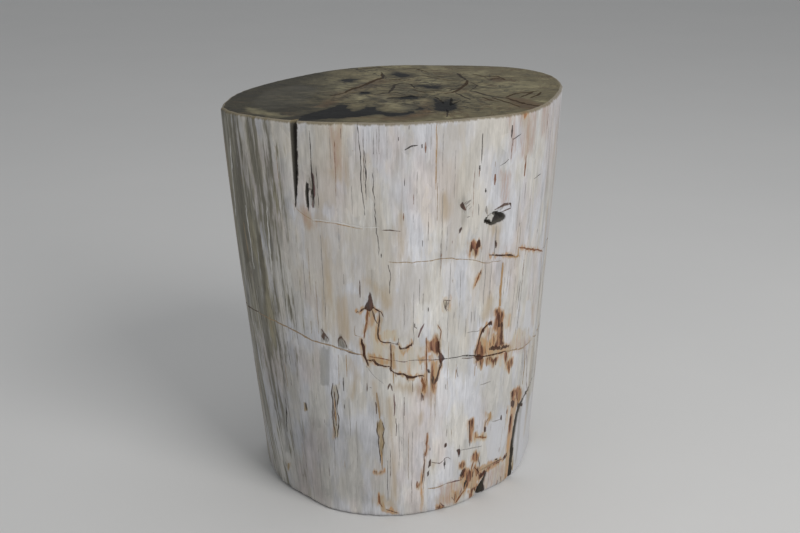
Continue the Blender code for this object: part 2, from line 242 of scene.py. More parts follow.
# Wandering marks of the front: tone, half width in millimetres, and the
# pixels of the photo that the mark passes
COURSES = (
    (INK, 0.36, (357, 123), (358.7, 139), (360.6, 154.5), (361.5, 185), (365, 216)),
    (INK, 0.30, (364, 149), (366, 170), (366, 201)),
    (INK, 0.36, (372, 171), (374, 195), (376, 225), (378.6, 245), (378.6, 257)),
    (INK, 0.85, (404.6, 150), (411.5, 146), (417.6, 145.3)),
    (INK, 0.45, (500, 166), (505.5, 162.4), (508.8, 159)),
    (INK, 0.60, (512.6, 139.8), (516.5, 137), (521.5, 133.6)),
    (INK, 0.35, (533.7, 179), (541, 173.5)),
    (SLATE, 1.20, (465.8, 204.5), (468.5, 202), (471, 200)),
    (UMBER, 0.45, (463.6, 204.6), (466.8, 201)),
    (UMBER, 0.40, (466.4, 207.4), (470.4, 203.4)),
    (SLATE, 0.50, (468, 210), (472, 206.4)),
    (SLATE, 0.40, (462.6, 208), (464.6, 213)),
    (SLATE, 0.80, (486.4, 206), (486.8, 214)),
    (SLATE, 0.60, (478.6, 204), (478.8, 216)),
    (SLATE, 0.90, (467, 217.4), (469.6, 216.4)),
    (PLUM, 0.80, (311, 170), (312.6, 184), (313, 196), (312.8, 208)),
    (UMBER, 0.40, (382.4, 230), (390, 230), (401.5, 231.3)),
    (TAN, 0.45, (388.6, 261.8), (398.5, 262.6), (407.7, 262.2), (424.5, 261.4), (431.4, 260.7),
     (440.6, 258.8), (446, 258.4), (452, 258), (468.3, 259.5), (477.5, 261), (483.6, 263),
     (489, 263), (493.6, 261.4), (501.2, 260.7)),
    (DARK_RUST, 0.85, (489, 255), (496.6, 255.3), (505.8, 255), (512.7, 256), (518, 256.5)),
    (OCHRE, 1.00, (508, 256.4), (513, 256.8), (518.2, 256.2), (518.4, 247.3)),
    (RUST, 0.80, (518.4, 247.3), (524.2, 247.7), (531, 249.6), (538.7, 250), (542.5, 251.5)),
    (TAN, 0.65, (542, 252), (541.4, 268), (540.2, 283), (539.4, 298), (538.7, 312)),
    (INK, 0.42, (387.8, 263.4), (390.5, 273.3), (389.7, 283.3), (389.7, 295)),
    (RUST, 1.00, (481.3, 270), (478, 278), (474.8, 286.3)),
    # Painted highlights: a pale line running right from the lower end of the groove, and bright lines
    # down the ridges of the left flank
    (PAINTED_HIGHLIGHT, 0.45, (312, 219.4), (335, 221.6), (363, 227)),
    (PAINTED_HIGHLIGHT, 0.40, (360, 227), (380, 227.6)),
    (PAINTED_HIGHLIGHT, 1.10, (229.4, 138), (232, 175), (235.6, 216)),
    (PAINTED_HIGHLIGHT, 0.80, (245, 205), (250, 240), (254, 270)),
    (PAINTED_HIGHLIGHT, 0.70, (266.6, 205), (269, 240), (272, 275)),
    # The pointed figure in the middle, with its two branches
    (DARK_RUST, 1.00, (366.6, 307.6), (362.6, 309.2), (360.1, 311.6)),
    (DARK_RUST, 0.50, (359.6, 312), (356.6, 311.4), (356.4, 313)),
    (DARK_RUST, 0.95, (372.6, 307.4), (377, 309.8), (381.4, 312.3)),
    (UMBER, 0.45, (380.4, 311.2), (382.6, 314.4), (383.6, 317)),
    (RUST, 0.85, (367.6, 308.5), (366.8, 317.3), (366, 326), (364.6, 333), (363.9, 338.5)),
    (DARK_RUST, 1.25, (361.4, 338.4), (361.8, 342), (363.8, 346.6), (364.2, 352), (364.2, 355.4),
     (366.2, 360), (367.8, 363.6), (368.4, 366)),
    (UMBER, 0.60, (372, 309.6), (373.8, 315), (375, 319.6), (377.4, 323.4)),
    (DARK_RUST, 0.80, (379, 311), (379.3, 320), (378.3, 328), (377.8, 334), (378.6, 338.4),
     (380.4, 341.2), (384.4, 342.5), (390.6, 342.7)),
    (UMBER, 0.50, (390.6, 342.8), (394, 343.6), (397.8, 344.4), (398.8, 338)),
    (RUST, 0.60, (391, 343), (391.2, 356), (391.4, 367)),
    (DARK_RUST, 1.15, (399.2, 346), (400.2, 348.8), (405, 348.4), (408.2, 347), (410.2, 344.6)),
    (DARK_RUST, 0.80, (408.4, 345.6), (411.4, 345.6), (412.4, 341.6)),
    (TAN, 0.40, (354.9, 325), (354.9, 335.3), (361, 336.8)),
    (SLATE, 0.35, (413.6, 345), (413.4, 322)),
    (UMBER, 0.75, (413.8, 326), (416.8, 328.4)),
    (PLUM, 1.00, (424.2, 323.6), (421, 329.4), (418.2, 337.6)),
    (RUST, 0.50, (426.2, 338), (426.6, 352), (426.4, 370), (426.2, 386)),
    (PLUM, 0.60, (426, 367), (428, 371.4), (430.4, 372.4)),
    (RUST, 0.50, (437.5, 324.6), (441, 330.7), (439.8, 340)),
    (DARK_RUST, 0.80, (438.8, 341), (438.6, 350)),
    (UMBER, 0.90, (439.4, 364), (438.2, 373), (436.4, 380), (433.2, 384.6)),
    (DARK_RUST, 1.05, (366, 359.8), (371, 360.6), (373.6, 359.8), (375.6, 363), (378.4, 364.7),
     (382, 365.6), (390, 366.4)),
    (DARK_RUST, 1.10, (391, 370), (394, 372.6), (398.2, 374), (403, 374.1), (406, 375.4),
     (408, 377), (413, 377.3), (417, 376.4), (421, 375.3), (424.4, 376.2)),
    (DARK_RUST, 0.55, (395, 373.6), (395.6, 376.6)),
    (DARK_RUST, 0.60, (405.4, 375), (407.6, 380)),
    (DARK_RUST, 0.60, (421.4, 376), (423.6, 381)),
    (RUST, 0.60, (424.2, 378), (424.8, 386), (425, 394)),
    (UMBER, 0.60, (421, 392), (422.4, 396), (423, 401)),
    (UMBER, 0.90, (390, 383.6), (388.6, 386.6), (387.6, 390.2)),
    (UMBER, 0.80, (390, 383.6), (391.4, 387), (392.4, 391.4)),
    (DARK_RUST, 0.80, (437.8, 341), (438.2, 351), (439.6, 354)),
    (DARK_RUST, 1.00, (440.4, 360), (440.8, 366), (438.4, 371), (437, 377.3), (434.5, 382)),
    (DARK_RUST, 0.60, (390.8, 343.4), (390.9, 356), (391, 368)),
    (RUST, 0.80, (421.6, 377), (423.4, 384), (422.6, 392)),
    (DARK_RUST, 0.60, (424.6, 374), (425.4, 382), (424.4, 390)),
    (SLATE, 0.40, (369, 388), (370.6, 387), (372, 388.6)),
    (SLATE, 0.26, (365.6, 365.6), (371.7, 373.3), (377.9, 379.4), (384, 384)),
    # Small figures with dark edges
    (UMBER, 0.70, (321.2, 329), (325, 335), (328.6, 339), (327.6, 342.6)),
    (SLATE, 0.60, (321.2, 329), (321.4, 341)),
    (UMBER, 0.70, (338.6, 346.8), (338.4, 339), (341, 336.6), (345, 341.6), (347, 347.4)),
    (UMBER, 0.90, (443.2, 300), (450.4, 300.6)),
    (BARK, 1.00, (446.4, 301), (445.8, 307)),
    (UMBER, 1.30, (323, 332.6), (324, 340)),
    (SLATE, 1.50, (326, 336.6), (326.6, 341)),
    (SLATE, 1.40, (341.4, 339.4), (342.6, 345.6)),
    (OCHRE, 0.35, (296, 208.4), (301, 212.6), (306, 216.4), (312, 220)),
    (PLUM, 1.20, (311.6, 172), (313, 182), (314, 190), (313, 200)),
    (UMBER, 0.55, (443.4, 300), (444.4, 306), (446, 310), (448.6, 301.4)),
    (BARK, 0.60, (377.6, 421), (376.6, 430), (378.6, 437), (378.8, 446), (380.4, 457)),
    (BARK, 0.50, (382.4, 422), (384.2, 429), (382.8, 436), (384, 443), (382, 455)),
    (BARK, 0.60, (381.4, 459), (382.2, 464), (382, 469)),
    # The spindle left of the middle
    (BARK, 0.85, (333, 383), (331.4, 394), (333.2, 404), (332.8, 416), (335, 428), (336, 440)),
    (BARK, 0.60, (335.6, 384), (338.8, 396), (336.8, 409), (339.2, 420), (337, 438)),
    (UMBER, 0.60, (334, 390), (335.6, 402), (334.6, 414), (336.6, 426)),
    (OCHRE, 0.60, (334.4, 398), (335.8, 412), (336.4, 424)),
    # The lower crack across the grain
    (TAN, 0.75, (258, 312.4), (266.8, 316.8), (280, 323.5), (291.8, 329), (302, 334.6),
     (312.2, 340.6), (321, 343), (332.7, 345.7), (345.4, 350), (355.7, 353.4), (364, 355.2)),
    (UMBER, 0.26, (262, 314.6), (266.8, 316.8), (280, 323.5), (291.8, 329), (302, 334.6),
     (312.2, 340.6), (321, 343), (332.7, 345.7), (345.4, 350), (355.7, 353.4), (364, 355.2)),
    (UMBER, 0.50, (340, 349.6), (350, 352.8), (357, 354.4), (364, 355.8)),
    (SLATE, 0.35, (336, 346), (342, 347.6), (348, 348.8), (353, 351)),
    (RUST, 0.55, (365, 355.6), (372, 357), (380, 358.2), (390, 360.4), (395, 360.6)),
    (PLUM, 0.50, (395, 360.4), (400, 361.6), (408, 361.6)),
    (UMBER, 0.45, (408, 360.6), (415, 360), (431, 360), (440, 359.4)),
    (INK, 0.60, (440, 359.2), (451.5, 358), (457.6, 357.2), (463, 356)),
    (INK, 0.95, (462, 355.9), (468, 355.7), (475, 355.4)),
    (UMBER, 0.60, (462, 358.2), (468, 358.4), (474, 357.6)),
    # The rust on the right, where the crack forks
    (DARK_RUST, 0.85, (491, 322), (488, 324), (483, 329), (481, 334), (479, 340), (477.4, 346),
     (476, 350), (475.4, 355)),
    (DARK_RUST, 0.95, (475, 356), (483, 356.5), (490, 355), (496, 353.5), (501, 352.5),
     (506, 351)),
    (TAN, 0.70, (506, 351), (512, 350), (518, 349.5), (523, 347.5), (527, 344), (531, 340)),
    (SLATE, 0.45, (466.8, 333), (473, 331.5), (479.8, 330.3)),
    (RUST, 0.55, (493.2, 335), (493.6, 340), (493.2, 345)),
    (RUST, 0.60, (489.4, 341), (489.8, 348)),
    (OCHRE, 1.20, (500, 285), (500.4, 296), (500, 306)),
    (PLUM, 0.60, (526.6, 350), (526.8, 372), (527, 398)),
    (TAN, 1.10, (525, 350), (524.4, 366), (522, 385)),
    (UMBER, 0.50, (457.8, 367), (456.8, 371), (458, 377)),
    (SLATE, 0.50, (446, 383), (445.2, 386), (446, 389.5)),
    (SLATE, 0.60, (479.8, 385), (484.4, 383.6), (490.5, 381.3)),
    # Long streaks of the low front
    (RUST, 0.80, (427.2, 432), (426.6, 446), (425.6, 457)),
    (UMBER, 0.75, (424.8, 458), (423.6, 470), (421.6, 484)),
    (TAN, 1.10, (376.6, 392), (378.4, 406), (379.6, 419)),
    (UMBER, 0.60, (375.6, 402), (376.6, 414)),
    (OCHRE, 0.80, (380.6, 450), (382, 461), (382.4, 470)),
    (SLATE, 0.60, (268, 396), (270, 420), (274, 445)),
    (INK, 0.50, (284.6, 398), (286, 416), (287.4, 432)),
    (RUST, 0.80, (378.6, 494), (379.4, 502), (382.6, 508)),
    (DARK_RUST, 0.70, (386, 509.4), (392, 511), (398.4, 513)),
    (PLUM, 0.90, (440, 502.6), (442.4, 505.4), (444.6, 506.4)),
    (PLUM, 0.80, (451.6, 497), (454, 500.4)),
    (PLUM, 0.70, (394, 393), (394.6, 404), (394, 416)),
    (UMBER, 0.50, (396, 418), (396.6, 426), (396, 436)),
    # Low on the right, round the open crack and the notch
    (DARK_RUST, 0.80, (469, 420), (469.6, 430), (470, 441)),
    (DARK_RUST, 0.60, (472.6, 419.6), (472.2, 428)),
    (INK, 0.60, (470, 440), (469.6, 447)),
    (RUST, 0.70, (488.4, 418), (485.6, 423), (484.6, 428)),
    (RUST, 0.90, (475.4, 432), (475.6, 438)),
    (RUST, 0.60, (475.5, 437.4), (480, 436.8), (486, 437.2)),
    (SLATE, 0.50, (477, 424), (476.8, 430)),
    (SLATE, 0.45, (492, 421.6), (496, 421), (500.6, 419.4)),
    (UMBER, 0.50, (431, 462), (435, 463), (440, 463.3), (443, 461), (445, 458), (448, 457.3),
     (451, 459.5)),
    (SLATE, 0.40, (446, 458), (445.4, 466)),
    (TAN, 1.30, (479, 471), (485, 468), (490, 465.5), (494, 462.5)),
    (UMBER, 0.80, (492, 463.6), (498, 460.5), (502, 459)),
    (RUST, 1.00, (502, 459), (504, 456), (506.5, 453)),
    (PLUM, 0.75, (461.6, 479.6), (452, 482), (446, 483.5)),
    (RUST, 1.00, (466, 488), (462, 493), (458.4, 498), (455.5, 502.6)),
    (DARK_RUST, 0.60, (464.6, 469), (462.6, 474), (460.4, 479)),
    (DARK_RUST, 0.60, (474, 467), (477, 470), (479.4, 473)),
    (TAN, 0.70, (446, 483.5), (440, 486.5), (434, 488), (428, 488.5)),
    (PLUM, 0.60, (462, 488), (460, 492), (459, 498)),
    (RUST, 0.60, (470.6, 487), (471.4, 492), (470.4, 499)),
    (UMBER, 0.50, (500.6, 476), (500.4, 484)),
    (RUST, 0.50, (506, 472), (505, 481)),
    (SLATE, 0.50, (460, 450.4), (470, 448.4), (482, 446)),
    (UMBER, 0.50, (478.6, 456), (479.4, 464), (480, 470)),
    (RUST, 0.60, (474, 460), (472, 466), (471, 472)),
    (OCHRE, 0.35, (312, 221), (335, 223.5), (363, 229)),
    # The box drawn round the tail of the knot
    (UMBER, 0.85, (494, 210.4), (499, 207.4), (504.5, 204.6), (510.6, 203.6), (511.4, 207.6)),
    (UMBER, 0.50, (502, 212), (506.5, 209.8), (511, 208)),
    (INK, 0.90, (509.4, 203.9), (511.2, 204.2)),
)

# Stains of the front: chains of discs, each at pixels of the photo with its
# radius in millimetres
STAINS = {
    "rust": (
        ((374, 472.5, 0.6), (378.6, 473.4, 1.4), (382, 471.6, 0.7)),
        ((418, 484, 1.6), (417, 487.6, 0.8)),
        ((525, 109, 2.6), (526.4, 114, 2.0)),
        ((481, 485, 1.0), (474, 488, 2.0), (468, 492, 1.0)),
    ),
    "ochre": (
        ((518.8, 392, 2.2), (518.4, 402, 1.6)),
        ((489.5, 414, 2.4), (487.6, 424, 1.0)),
        ((475, 245, 4.6), (473, 256, 1.4)),
        ((557.5, 90, 2.0), (560, 89.2, 2.0)),
    ),
    "tan": (
        ((338.5, 124, 3.2), (338.8, 150, 4.4), (339.6, 178, 3.4), (332.5, 172, 1.6)),
        ((302, 211, 3.0), (305.6, 218, 5.2), (309, 224, 3.0)),
        ((401, 218, 1.6), (400.8, 236, 3.0), (400.4, 259, 2.6)),
        ((527, 116, 3.6), (527, 136, 3.2), (526.4, 153, 1.8)),
        ((533, 308, 2.0), (533, 324, 2.2)),
        ((421, 415.5, 1.6), (421, 420, 1.2)),
        ((288, 463, 1.6), (288, 469, 1.8)),
        ((380, 500, 5.0), (392, 505, 5.0), (396, 512, 3.0)),
        ((431, 463.4, 1.8), (434, 463.6, 1.8)),
        ((325, 240, 3.0), (327, 300, 3.6), (326, 330, 2.0)),
        ((398, 386, 3.0), (428, 390, 4.4), (430, 404, 2.0)),
        ((373, 384, 2.4), (376, 398, 2.8), (379, 412, 1.6)),
        ((486, 315, 4.0), (490, 300, 3.0)),
        ((444, 196, 2.0), (446, 206, 3.4), (446, 216, 2.4)),
        ((389, 400, 1.2), (392, 440, 1.8), (396, 500, 2.0)),
        ((342, 300, 3.6), (343, 318, 5.4), (346, 336, 4.0)),
        ((494, 227, 3.0), (497, 238, 3.4), (500, 248, 2.0)),
        ((370, 282, 3.0), (380, 292, 4.4), (386, 304, 2.6)),
        ((352, 362, 1.6), (356, 378, 2.2), (352, 396, 1.4)),
        ((440, 500, 4.0), (452, 496, 4.4), (463, 494, 3.0)),
    ),
    "grey": (
        ((286, 200, 2.0), (281, 240, 2.0)),
        ((463, 203, 4.4), (467, 212, 3.4), (462, 224, 2.0)),
        ((459, 201, 1.6), (462, 206, 2.2), (466, 211, 1.6)),
        ((311, 170, 2.0), (311.4, 184, 3.0), (311.2, 204, 1.6)),
        ((256, 260, 2.0), (262, 300, 2.6), (266, 340, 1.8)),
        ((345, 400, 1.4), (347, 440, 2.2), (348, 470, 1.2)),
        ((522, 392, 3.4), (519, 420, 4.4), (516, 460, 3.0)),
    ),
    "olive": (
        ((245, 262, 2.6), (252, 330, 2.0), (262, 400, 1.2)),
        ((261, 250, 2.4), (262.5, 268, 3.0), (268, 330, 1.6), (275, 410, 1.2)),
        ((274, 262, 2.2), (276, 290, 1.4), (280, 350, 1.0)),
        ((230, 128, 1.0), (236, 220, 1.0), (243, 300, 1.2), (254, 380, 1.0)),
        ((309, 176, 0.8), (311.4, 186, 1.8), (312, 204, 0.9)),
        ((284.5, 462, 1.2), (288.5, 469, 1.6)),
        ((541.4, 258, 0.6), (540, 285, 1.2), (538.8, 308, 0.8)),
    ),
    # Dark spots; the first two chains and the one at the head of the open crack are painted shadow in
    # the slot and the crack
    "pit": (
        ((307.2, 185, 1.7), (307.6, 191, 1.5), (307.2, 200, 0.7)),
        ((309.6, 187, 0.9), (311.6, 191, 1.2), (310.6, 197, 0.8)),
        ((479.6, 166.5, 1.3), (479.9, 169.5, 1.0)),
        ((485.6, 189.5, 1.1), (485.6, 191.8, 1.1)),
        ((518, 404.6, 1.6), (517, 409.6, 1.2)),
        ((469.4, 434, 0.8), (469.2, 442, 0.8)),
        ((466, 480, 1.4), (463.8, 486.5, 1.1)),
        ((495, 459.6, 1.4), (498.6, 459, 1.3)),
        ((306, 404, 1.4), (306, 409, 1.1)),
        ((507.4, 254.6, 1.5), (507.6, 256.2, 1.0)),
        ((496, 254, 1.0), (497.6, 256.4, 1.0)),
        ((443.8, 462.6, 1.0), (444.6, 466, 0.7)),
    ),
}

# Stains of the front with outlines of their own, in pixels of the photo
AREAS = {
    "cream": (
        ((367.4, 309), (373.4, 309.5), (375.4, 318), (378.6, 323), (377.8, 337), (380.4, 341.5),
         (390.6, 343), (399, 346.4), (400.4, 350.4), (408, 349.6), (413, 346), (426, 345),
         (426.4, 352), (439, 352), (441, 359), (438.6, 367), (437, 378), (431, 381), (424.6, 376),
         (417, 376), (408, 377), (398, 373.6), (391, 368.4), (379, 364.6), (374, 359.8),
         (368, 361.8), (365, 354), (363.6, 346), (362.4, 339), (365.2, 332), (366.4, 318)),
        ((482, 334), (488, 326), (493, 329), (496, 331), (494, 346), (505, 347), (512, 348),
         (512, 357), (509, 372), (503, 369), (498, 364), (487, 364), (481, 368), (476, 358),
         (477, 347), (479.4, 340)),
        ((503, 313), (511, 314), (510.6, 326), (504, 330)),
        ((516, 330), (520, 328), (527, 333), (533, 338), (530, 343), (523, 346.4), (512, 349.6),
         (508, 345), (513, 337)),
        ((484, 477), (486, 470), (494, 466), (503, 461), (507, 456), (506, 478), (498, 483),
         (484, 490)),
        ((507.6, 404), (511, 404), (509, 440), (506.6, 478), (503, 478), (505, 440)),
        ((444, 483), (462, 479), (466, 489), (458, 500), (446, 504), (440, 498)),
        ((472, 434), (487, 433), (486, 440), (474, 442)),
        ((332, 384), (338, 384), (339, 436), (333, 438)),
        ((442, 296), (451, 296), (450, 312), (442, 312)),
        ((382, 330), (396, 330), (398, 341), (381, 340)),
    ),
    "ochre": (
        ((370.5, 309), (374, 311), (375, 320), (373, 330), (370.5, 326)),
        ((366.5, 352), (378, 356), (390, 359.5), (390, 366), (378.5, 364), (374, 359.5),
         (368.5, 361)),
        ((390, 343), (393.5, 343.5), (394, 356), (397, 361), (397, 372.5), (391, 368),
         (389.5, 360)),
        ((399, 349), (408, 349.5), (407, 353), (403, 355.5), (400.5, 352)),
        ((417, 356.5), (425.5, 356), (425.5, 363), (417, 362)),
        ((427, 353), (432.5, 352.5), (432.5, 362), (427.5, 362)),
        ((430, 362), (437.5, 360), (437.5, 378), (434.5, 392), (430.5, 392), (430, 376)),
        ((419.5, 377), (425, 379), (425.5, 392), (421.5, 386)),
        ((480, 336), (484, 335), (488, 343), (489, 352), (482, 356), (476.6, 354), (478, 346)),
        ((492, 338), (497, 331), (502.6, 330), (504, 341), (512, 346), (510, 352), (500, 355),
         (488, 358), (486, 354), (490, 348)),
        ((517, 400), (515, 411), (512.6, 426), (511, 441), (509.4, 460), (508.4, 478),
         (503.6, 480), (505, 468), (506.4, 452), (507, 438), (508, 426), (509, 414),
         (511.4, 405)),
        ((510.4, 391), (518, 388), (522, 390), (521, 400), (517, 406), (510, 406)),
        ((468, 487), (474, 480), (478, 478), (474, 490), (469.6, 500), (468, 497), (471, 489)),
        ((463, 465), (470, 469), (480, 467), (487, 462), (497, 459), (504, 456), (503, 461),
         (495, 467), (488, 472), (480, 480), (470, 489), (463, 489), (460, 480), (462, 472)),
        ((486, 412.4), (489.6, 412), (492.6, 416), (492, 420.4), (488, 421.6), (486.6, 418)),
        ((426.4, 431), (428, 432), (427.6, 450), (425.4, 466), (422.6, 482), (420.6, 490),
         (420, 484), (422.4, 470), (425, 452)),
        ((420.8, 488), (422.2, 488), (421.8, 513), (420.4, 513)),
        ((377.4, 494), (379.8, 493), (381, 501), (385, 507), (392, 508.6), (399, 511.4),
         (398, 514.6), (388, 513), (381, 510.6), (378, 503)),
    ),
    # Painted light: patches of the front made brighter, where the light falls more fully
    "light": (
        ((388, 366), (430, 364), (468, 380), (474, 418), (458, 448), (446, 492), (402, 504),
         (391, 450)),
        ((392, 244), (438, 240), (446, 300), (440, 335), (400, 335), (394, 300)),
        ((484, 440), (502, 430), (500, 456), (486, 462)),
        ((412, 170), (440, 170), (446, 240), (414, 240)),
    ),
    # Painted shade: the lower left of the front and a strip beside the groove made darker
    "painted_shade": (
        ((270, 400), (300, 416), (345, 424), (384, 440), (388, 500), (336, 502), (300, 488)),
        ((262, 330), (298, 350), (304, 420), (272, 420)),
        ((299, 124), (312, 124), (311, 172), (301, 176)),
    ),
    "blush": (
        ((332, 128), (342, 126), (342, 170), (334, 172)),
        ((298, 205), (310, 208), (315, 226), (303, 226)),
        ((508, 110), (517, 108), (516, 150), (511, 160)),
        ((516, 100), (538, 100), (534, 152), (518, 160)),
        ((541, 100), (549, 98), (548, 140), (541, 136)),
        ((500, 172), (512, 172), (510, 204), (502, 204)),
        ((478, 476), (486, 470), (503, 462), (506, 478), (498, 484), (484, 490)),
        ((438, 484), (462, 479), (466, 489), (458, 503), (440, 506)),
        ((484, 330), (494, 326), (494, 344), (482, 344)),
        ((510, 340), (530, 338), (526, 352), (512, 352)),
        ((418, 378), (436, 378), (434, 398), (420, 398)),
    ),
    "smooth": (
        ((522, 408), (530, 396), (536, 386), (536, 400), (533, 430), (528, 458), (513, 477),
         (513.4, 460), (514.6, 444), (516, 430), (518, 418)),
        ((486, 424), (505, 414), (505, 440), (500, 456), (488, 460), (485, 440)),
        ((526, 300), (531, 300), (530, 328), (523, 328)),
    ),
    "mustard": (
        ((377.4, 422), (379.8, 417), (382.4, 422), (384.2, 429), (382.6, 435), (384, 442),
         (382.8, 450), (381.2, 460), (379.6, 452), (378.4, 444), (378.4, 437), (376.6, 430)),
        ((426.8, 434), (427.8, 436), (426.6, 458), (425.2, 456)),
        ((512.4, 424), (514, 424), (512.6, 470), (511, 470)),
        ((287, 462), (290, 462), (290.4, 470), (287.6, 470)),
        ((304, 403), (307.6, 403), (308, 411), (304.6, 411)),
    ),
    "rust": (
        ((470.4, 241), (475, 242), (480.6, 239.8), (481.4, 246), (478.6, 249.6), (477.4, 256),
         (475.4, 250), (471, 249.4), (469.4, 256), (469.4, 249)),
        ((427, 340.2), (433, 339.6), (434.4, 335.4), (436.6, 334.2), (438.2, 339), (440, 340.6),
         (439.8, 345), (438.8, 349), (438.4, 352.6), (432, 351.6), (427.2, 353)),
        ((432, 364), (433.4, 376), (437, 377.6), (435.4, 383), (433.6, 392), (431.4, 386),
         (431.4, 372)),
        ((499, 307), (501.4, 312), (504, 316.4), (501.8, 321), (502.2, 330), (501.6, 340),
         (505, 344.6), (497, 347.4), (493.4, 346.6), (495.6, 341), (497, 331), (493.8, 328),
         (495.2, 318), (494.6, 311), (497, 309)),
        ((477.4, 345), (481, 341), (485, 346.5), (487, 353.4), (482, 357.4), (484, 360),
         (481.4, 368), (479.6, 366.6), (478, 361), (476, 361), (475.6, 352)),
        ((502, 351.6), (506.6, 350.6), (507.4, 356), (505.4, 363), (503.6, 358)),
        ((485.4, 357.4), (488.2, 357.4), (487, 364.2), (485.8, 362)),
        ((490.4, 358.4), (498, 357), (496.6, 363.4), (495, 360.4), (492.6, 366)),
        ((506, 362), (508.4, 362), (510.4, 369), (508.6, 371.4), (506.4, 367)),
        ((510.6, 358.6), (513.4, 357.6), (512.6, 366), (510.4, 367)),
        ((511.2, 391.6), (513.4, 389.4), (515.6, 390.4), (515, 394.6), (513.4, 396.6),
         (514.6, 400), (511.2, 399.4)),
        ((516, 389.6), (518.6, 386.6), (521.2, 389.6), (521.6, 393), (520.4, 399), (517.6, 403.4),
         (516.2, 398)),
        ((468.6, 420), (473, 419.2), (473.6, 424), (471.6, 434), (470.8, 441), (469, 436)),
        ((459.4, 463.6), (464.4, 461.6), (465, 465), (463.6, 468.2), (460, 467.4)),
        ((464.4, 468.6), (467, 470.6), (465.6, 475), (462, 479.4), (459.6, 478.6), (462.4, 474)),
        ((467.4, 470.4), (473.4, 471), (473, 477), (469.4, 482), (467, 488), (464, 486.4),
         (466.4, 479)),
        ((473.6, 466.6), (477.6, 468), (479.6, 472.4), (484.4, 471.6), (485.6, 475), (481.6, 479),
         (477, 477), (475, 472)),
        ((472, 456.4), (475.6, 451.6), (479.4, 454), (478.6, 459), (475.4, 461), (471.8, 459.4)),
        ((483.4, 470), (489, 466), (495.4, 462), (499, 459.8), (499, 462.4), (493, 466),
         (486.4, 471.6)),
        ((469, 493), (471.4, 488), (473, 489), (472, 496), (469.6, 499)),
        ((454, 491), (457, 490.4), (457.4, 496), (455.4, 503), (453.8, 502)),
        ((437, 506), (440, 504.2), (441, 506.4), (445, 508), (441, 510.6), (437.4, 510.4)),
        ((509.2, 415.6), (511.4, 415), (511, 427), (509.6, 433), (508, 438), (508.4, 426)),
        ((454.2, 492.6), (456.2, 492.6), (456, 503.4), (454, 503.2)),
    ),
    "chip": (CHIP_OUTLINE,),
    "deep": (
        ((459.4, 202.4), (462.2, 203), (466.4, 208.4), (465.2, 211.4), (462.4, 210.2), (460, 206.4)),
        ((461, 226.4), (462.8, 227), (461.6, 231), (459.2, 234), (459.2, 230)),
        ((494.6, 243), (496, 239.6), (497.2, 243), (496.4, 248), (494.8, 248)),
        ((470.6, 241.4), (472, 240.6), (472, 248.6), (470.6, 252.6), (469.6, 250)),
        ((476.4, 241), (480.4, 240), (480.8, 246), (478.4, 249), (476, 248)),
        ((369.5, 290.6), (371.4, 296.6), (373, 303), (375.4, 308.6), (371.5, 310.4),
         (366.4, 310.4), (363.6, 308.8), (366.4, 303), (367.8, 296.6)),
        ((439, 348.6), (441, 353.4), (443.8, 355.4), (444.6, 358.4), (442, 362), (441, 367),
         (439.2, 363), (438.6, 357)),
        ((389.4, 365.4), (391.6, 367.4), (392.4, 371), (390.6, 372.4), (389.2, 369)),
        ((361, 338), (362.8, 339), (362.8, 343), (365, 347), (365, 355), (363, 356), (362.4, 348),
         (361, 343.6)),
        ((488, 348.4), (493, 345.6), (500, 346.4), (505, 345.2), (508.6, 344.4), (508.4, 347),
         (504, 348.4), (498, 349.6), (492, 350), (488.6, 351)),
        ((474, 354), (480, 355), (484, 356.6), (481, 359.6), (477.6, 361.6), (475.6, 360),
         (474, 357)),
        ((488, 321.4), (491.4, 320.8), (492, 325), (488.4, 325.6)),
        ((482.2, 327.8), (484.8, 327.4), (484.2, 331.2), (481.6, 331.6)),
        ((500.8, 322), (502.4, 322), (502.2, 344), (500.6, 344)),
        ((497.6, 314), (499.6, 314), (499.2, 327), (497.2, 327)),
        ((510.6, 400.6), (514.2, 400.2), (514.4, 404), (512.8, 408), (510.6, 406)),
        ((516.8, 403), (521.6, 401.6), (523, 404), (519.4, 408.4), (516.8, 410)),
        ((456.6, 450), (459.8, 448.4), (460.6, 450.6), (459.8, 457.6), (458.2, 456.6)),
        ((479.6, 473), (483, 472.4), (482.4, 477), (479.8, 479)),
        ((502.4, 459.4), (505.4, 454.6), (507, 452.4), (506.4, 456.4), (503.6, 460)),
        ((484, 470.6), (486.4, 469), (486.8, 474), (484.6, 477), (482, 474.6)),
        ((462, 470), (465, 467.4), (464.4, 472), (461, 476.8), (459.2, 475.6)),
        ((511, 391.6), (513.4, 390.6), (513.2, 396.4), (511.2, 397)),
        ((509.2, 416), (511.4, 416), (511, 424), (509.2, 425)),
        ((428.8, 462), (430.8, 459.6), (430.8, 467.4), (428.6, 468)),
        ((483.8, 426.6), (486.2, 427), (485.8, 431.8), (483.8, 431.4)),
        ((500.2, 414.6), (502.2, 414.4), (501.6, 420), (499.8, 419.4)),
        ((444.8, 443.4), (447.8, 443), (447.2, 448.2), (444.8, 447.6)),
        ((426.6, 471.2), (429, 471.2), (429, 475.6), (426.8, 475.6)),
    ),
    "slab": (
        ((320.6, 346), (329.6, 348.6), (329.6, 386), (320.2, 385)),
        ((282.6, 384), (285.2, 384), (287.4, 420), (288.4, 452), (285.6, 452), (283.6, 420)),
    ),
    # Painted shadow inside the groove, the open crack, the foot notch and the slot
    "pit": (
        ((293.2, 121), (297.6, 121), (298.2, 150), (298, 185), (296.8, 198), (295.2, 207),
         (294.4, 198), (293.8, 180), (293.4, 150)),
        ((519, 403), (516, 411), (514.6, 420), (513.4, 430), (512.4, 440), (511.6, 450),
         (510, 460), (508.8, 470), (508.6, 478), (511, 478), (511.8, 470), (512.6, 460),
         (513.4, 450), (514, 440), (515, 430), (516.2, 420), (517.6, 411), (521, 404)),
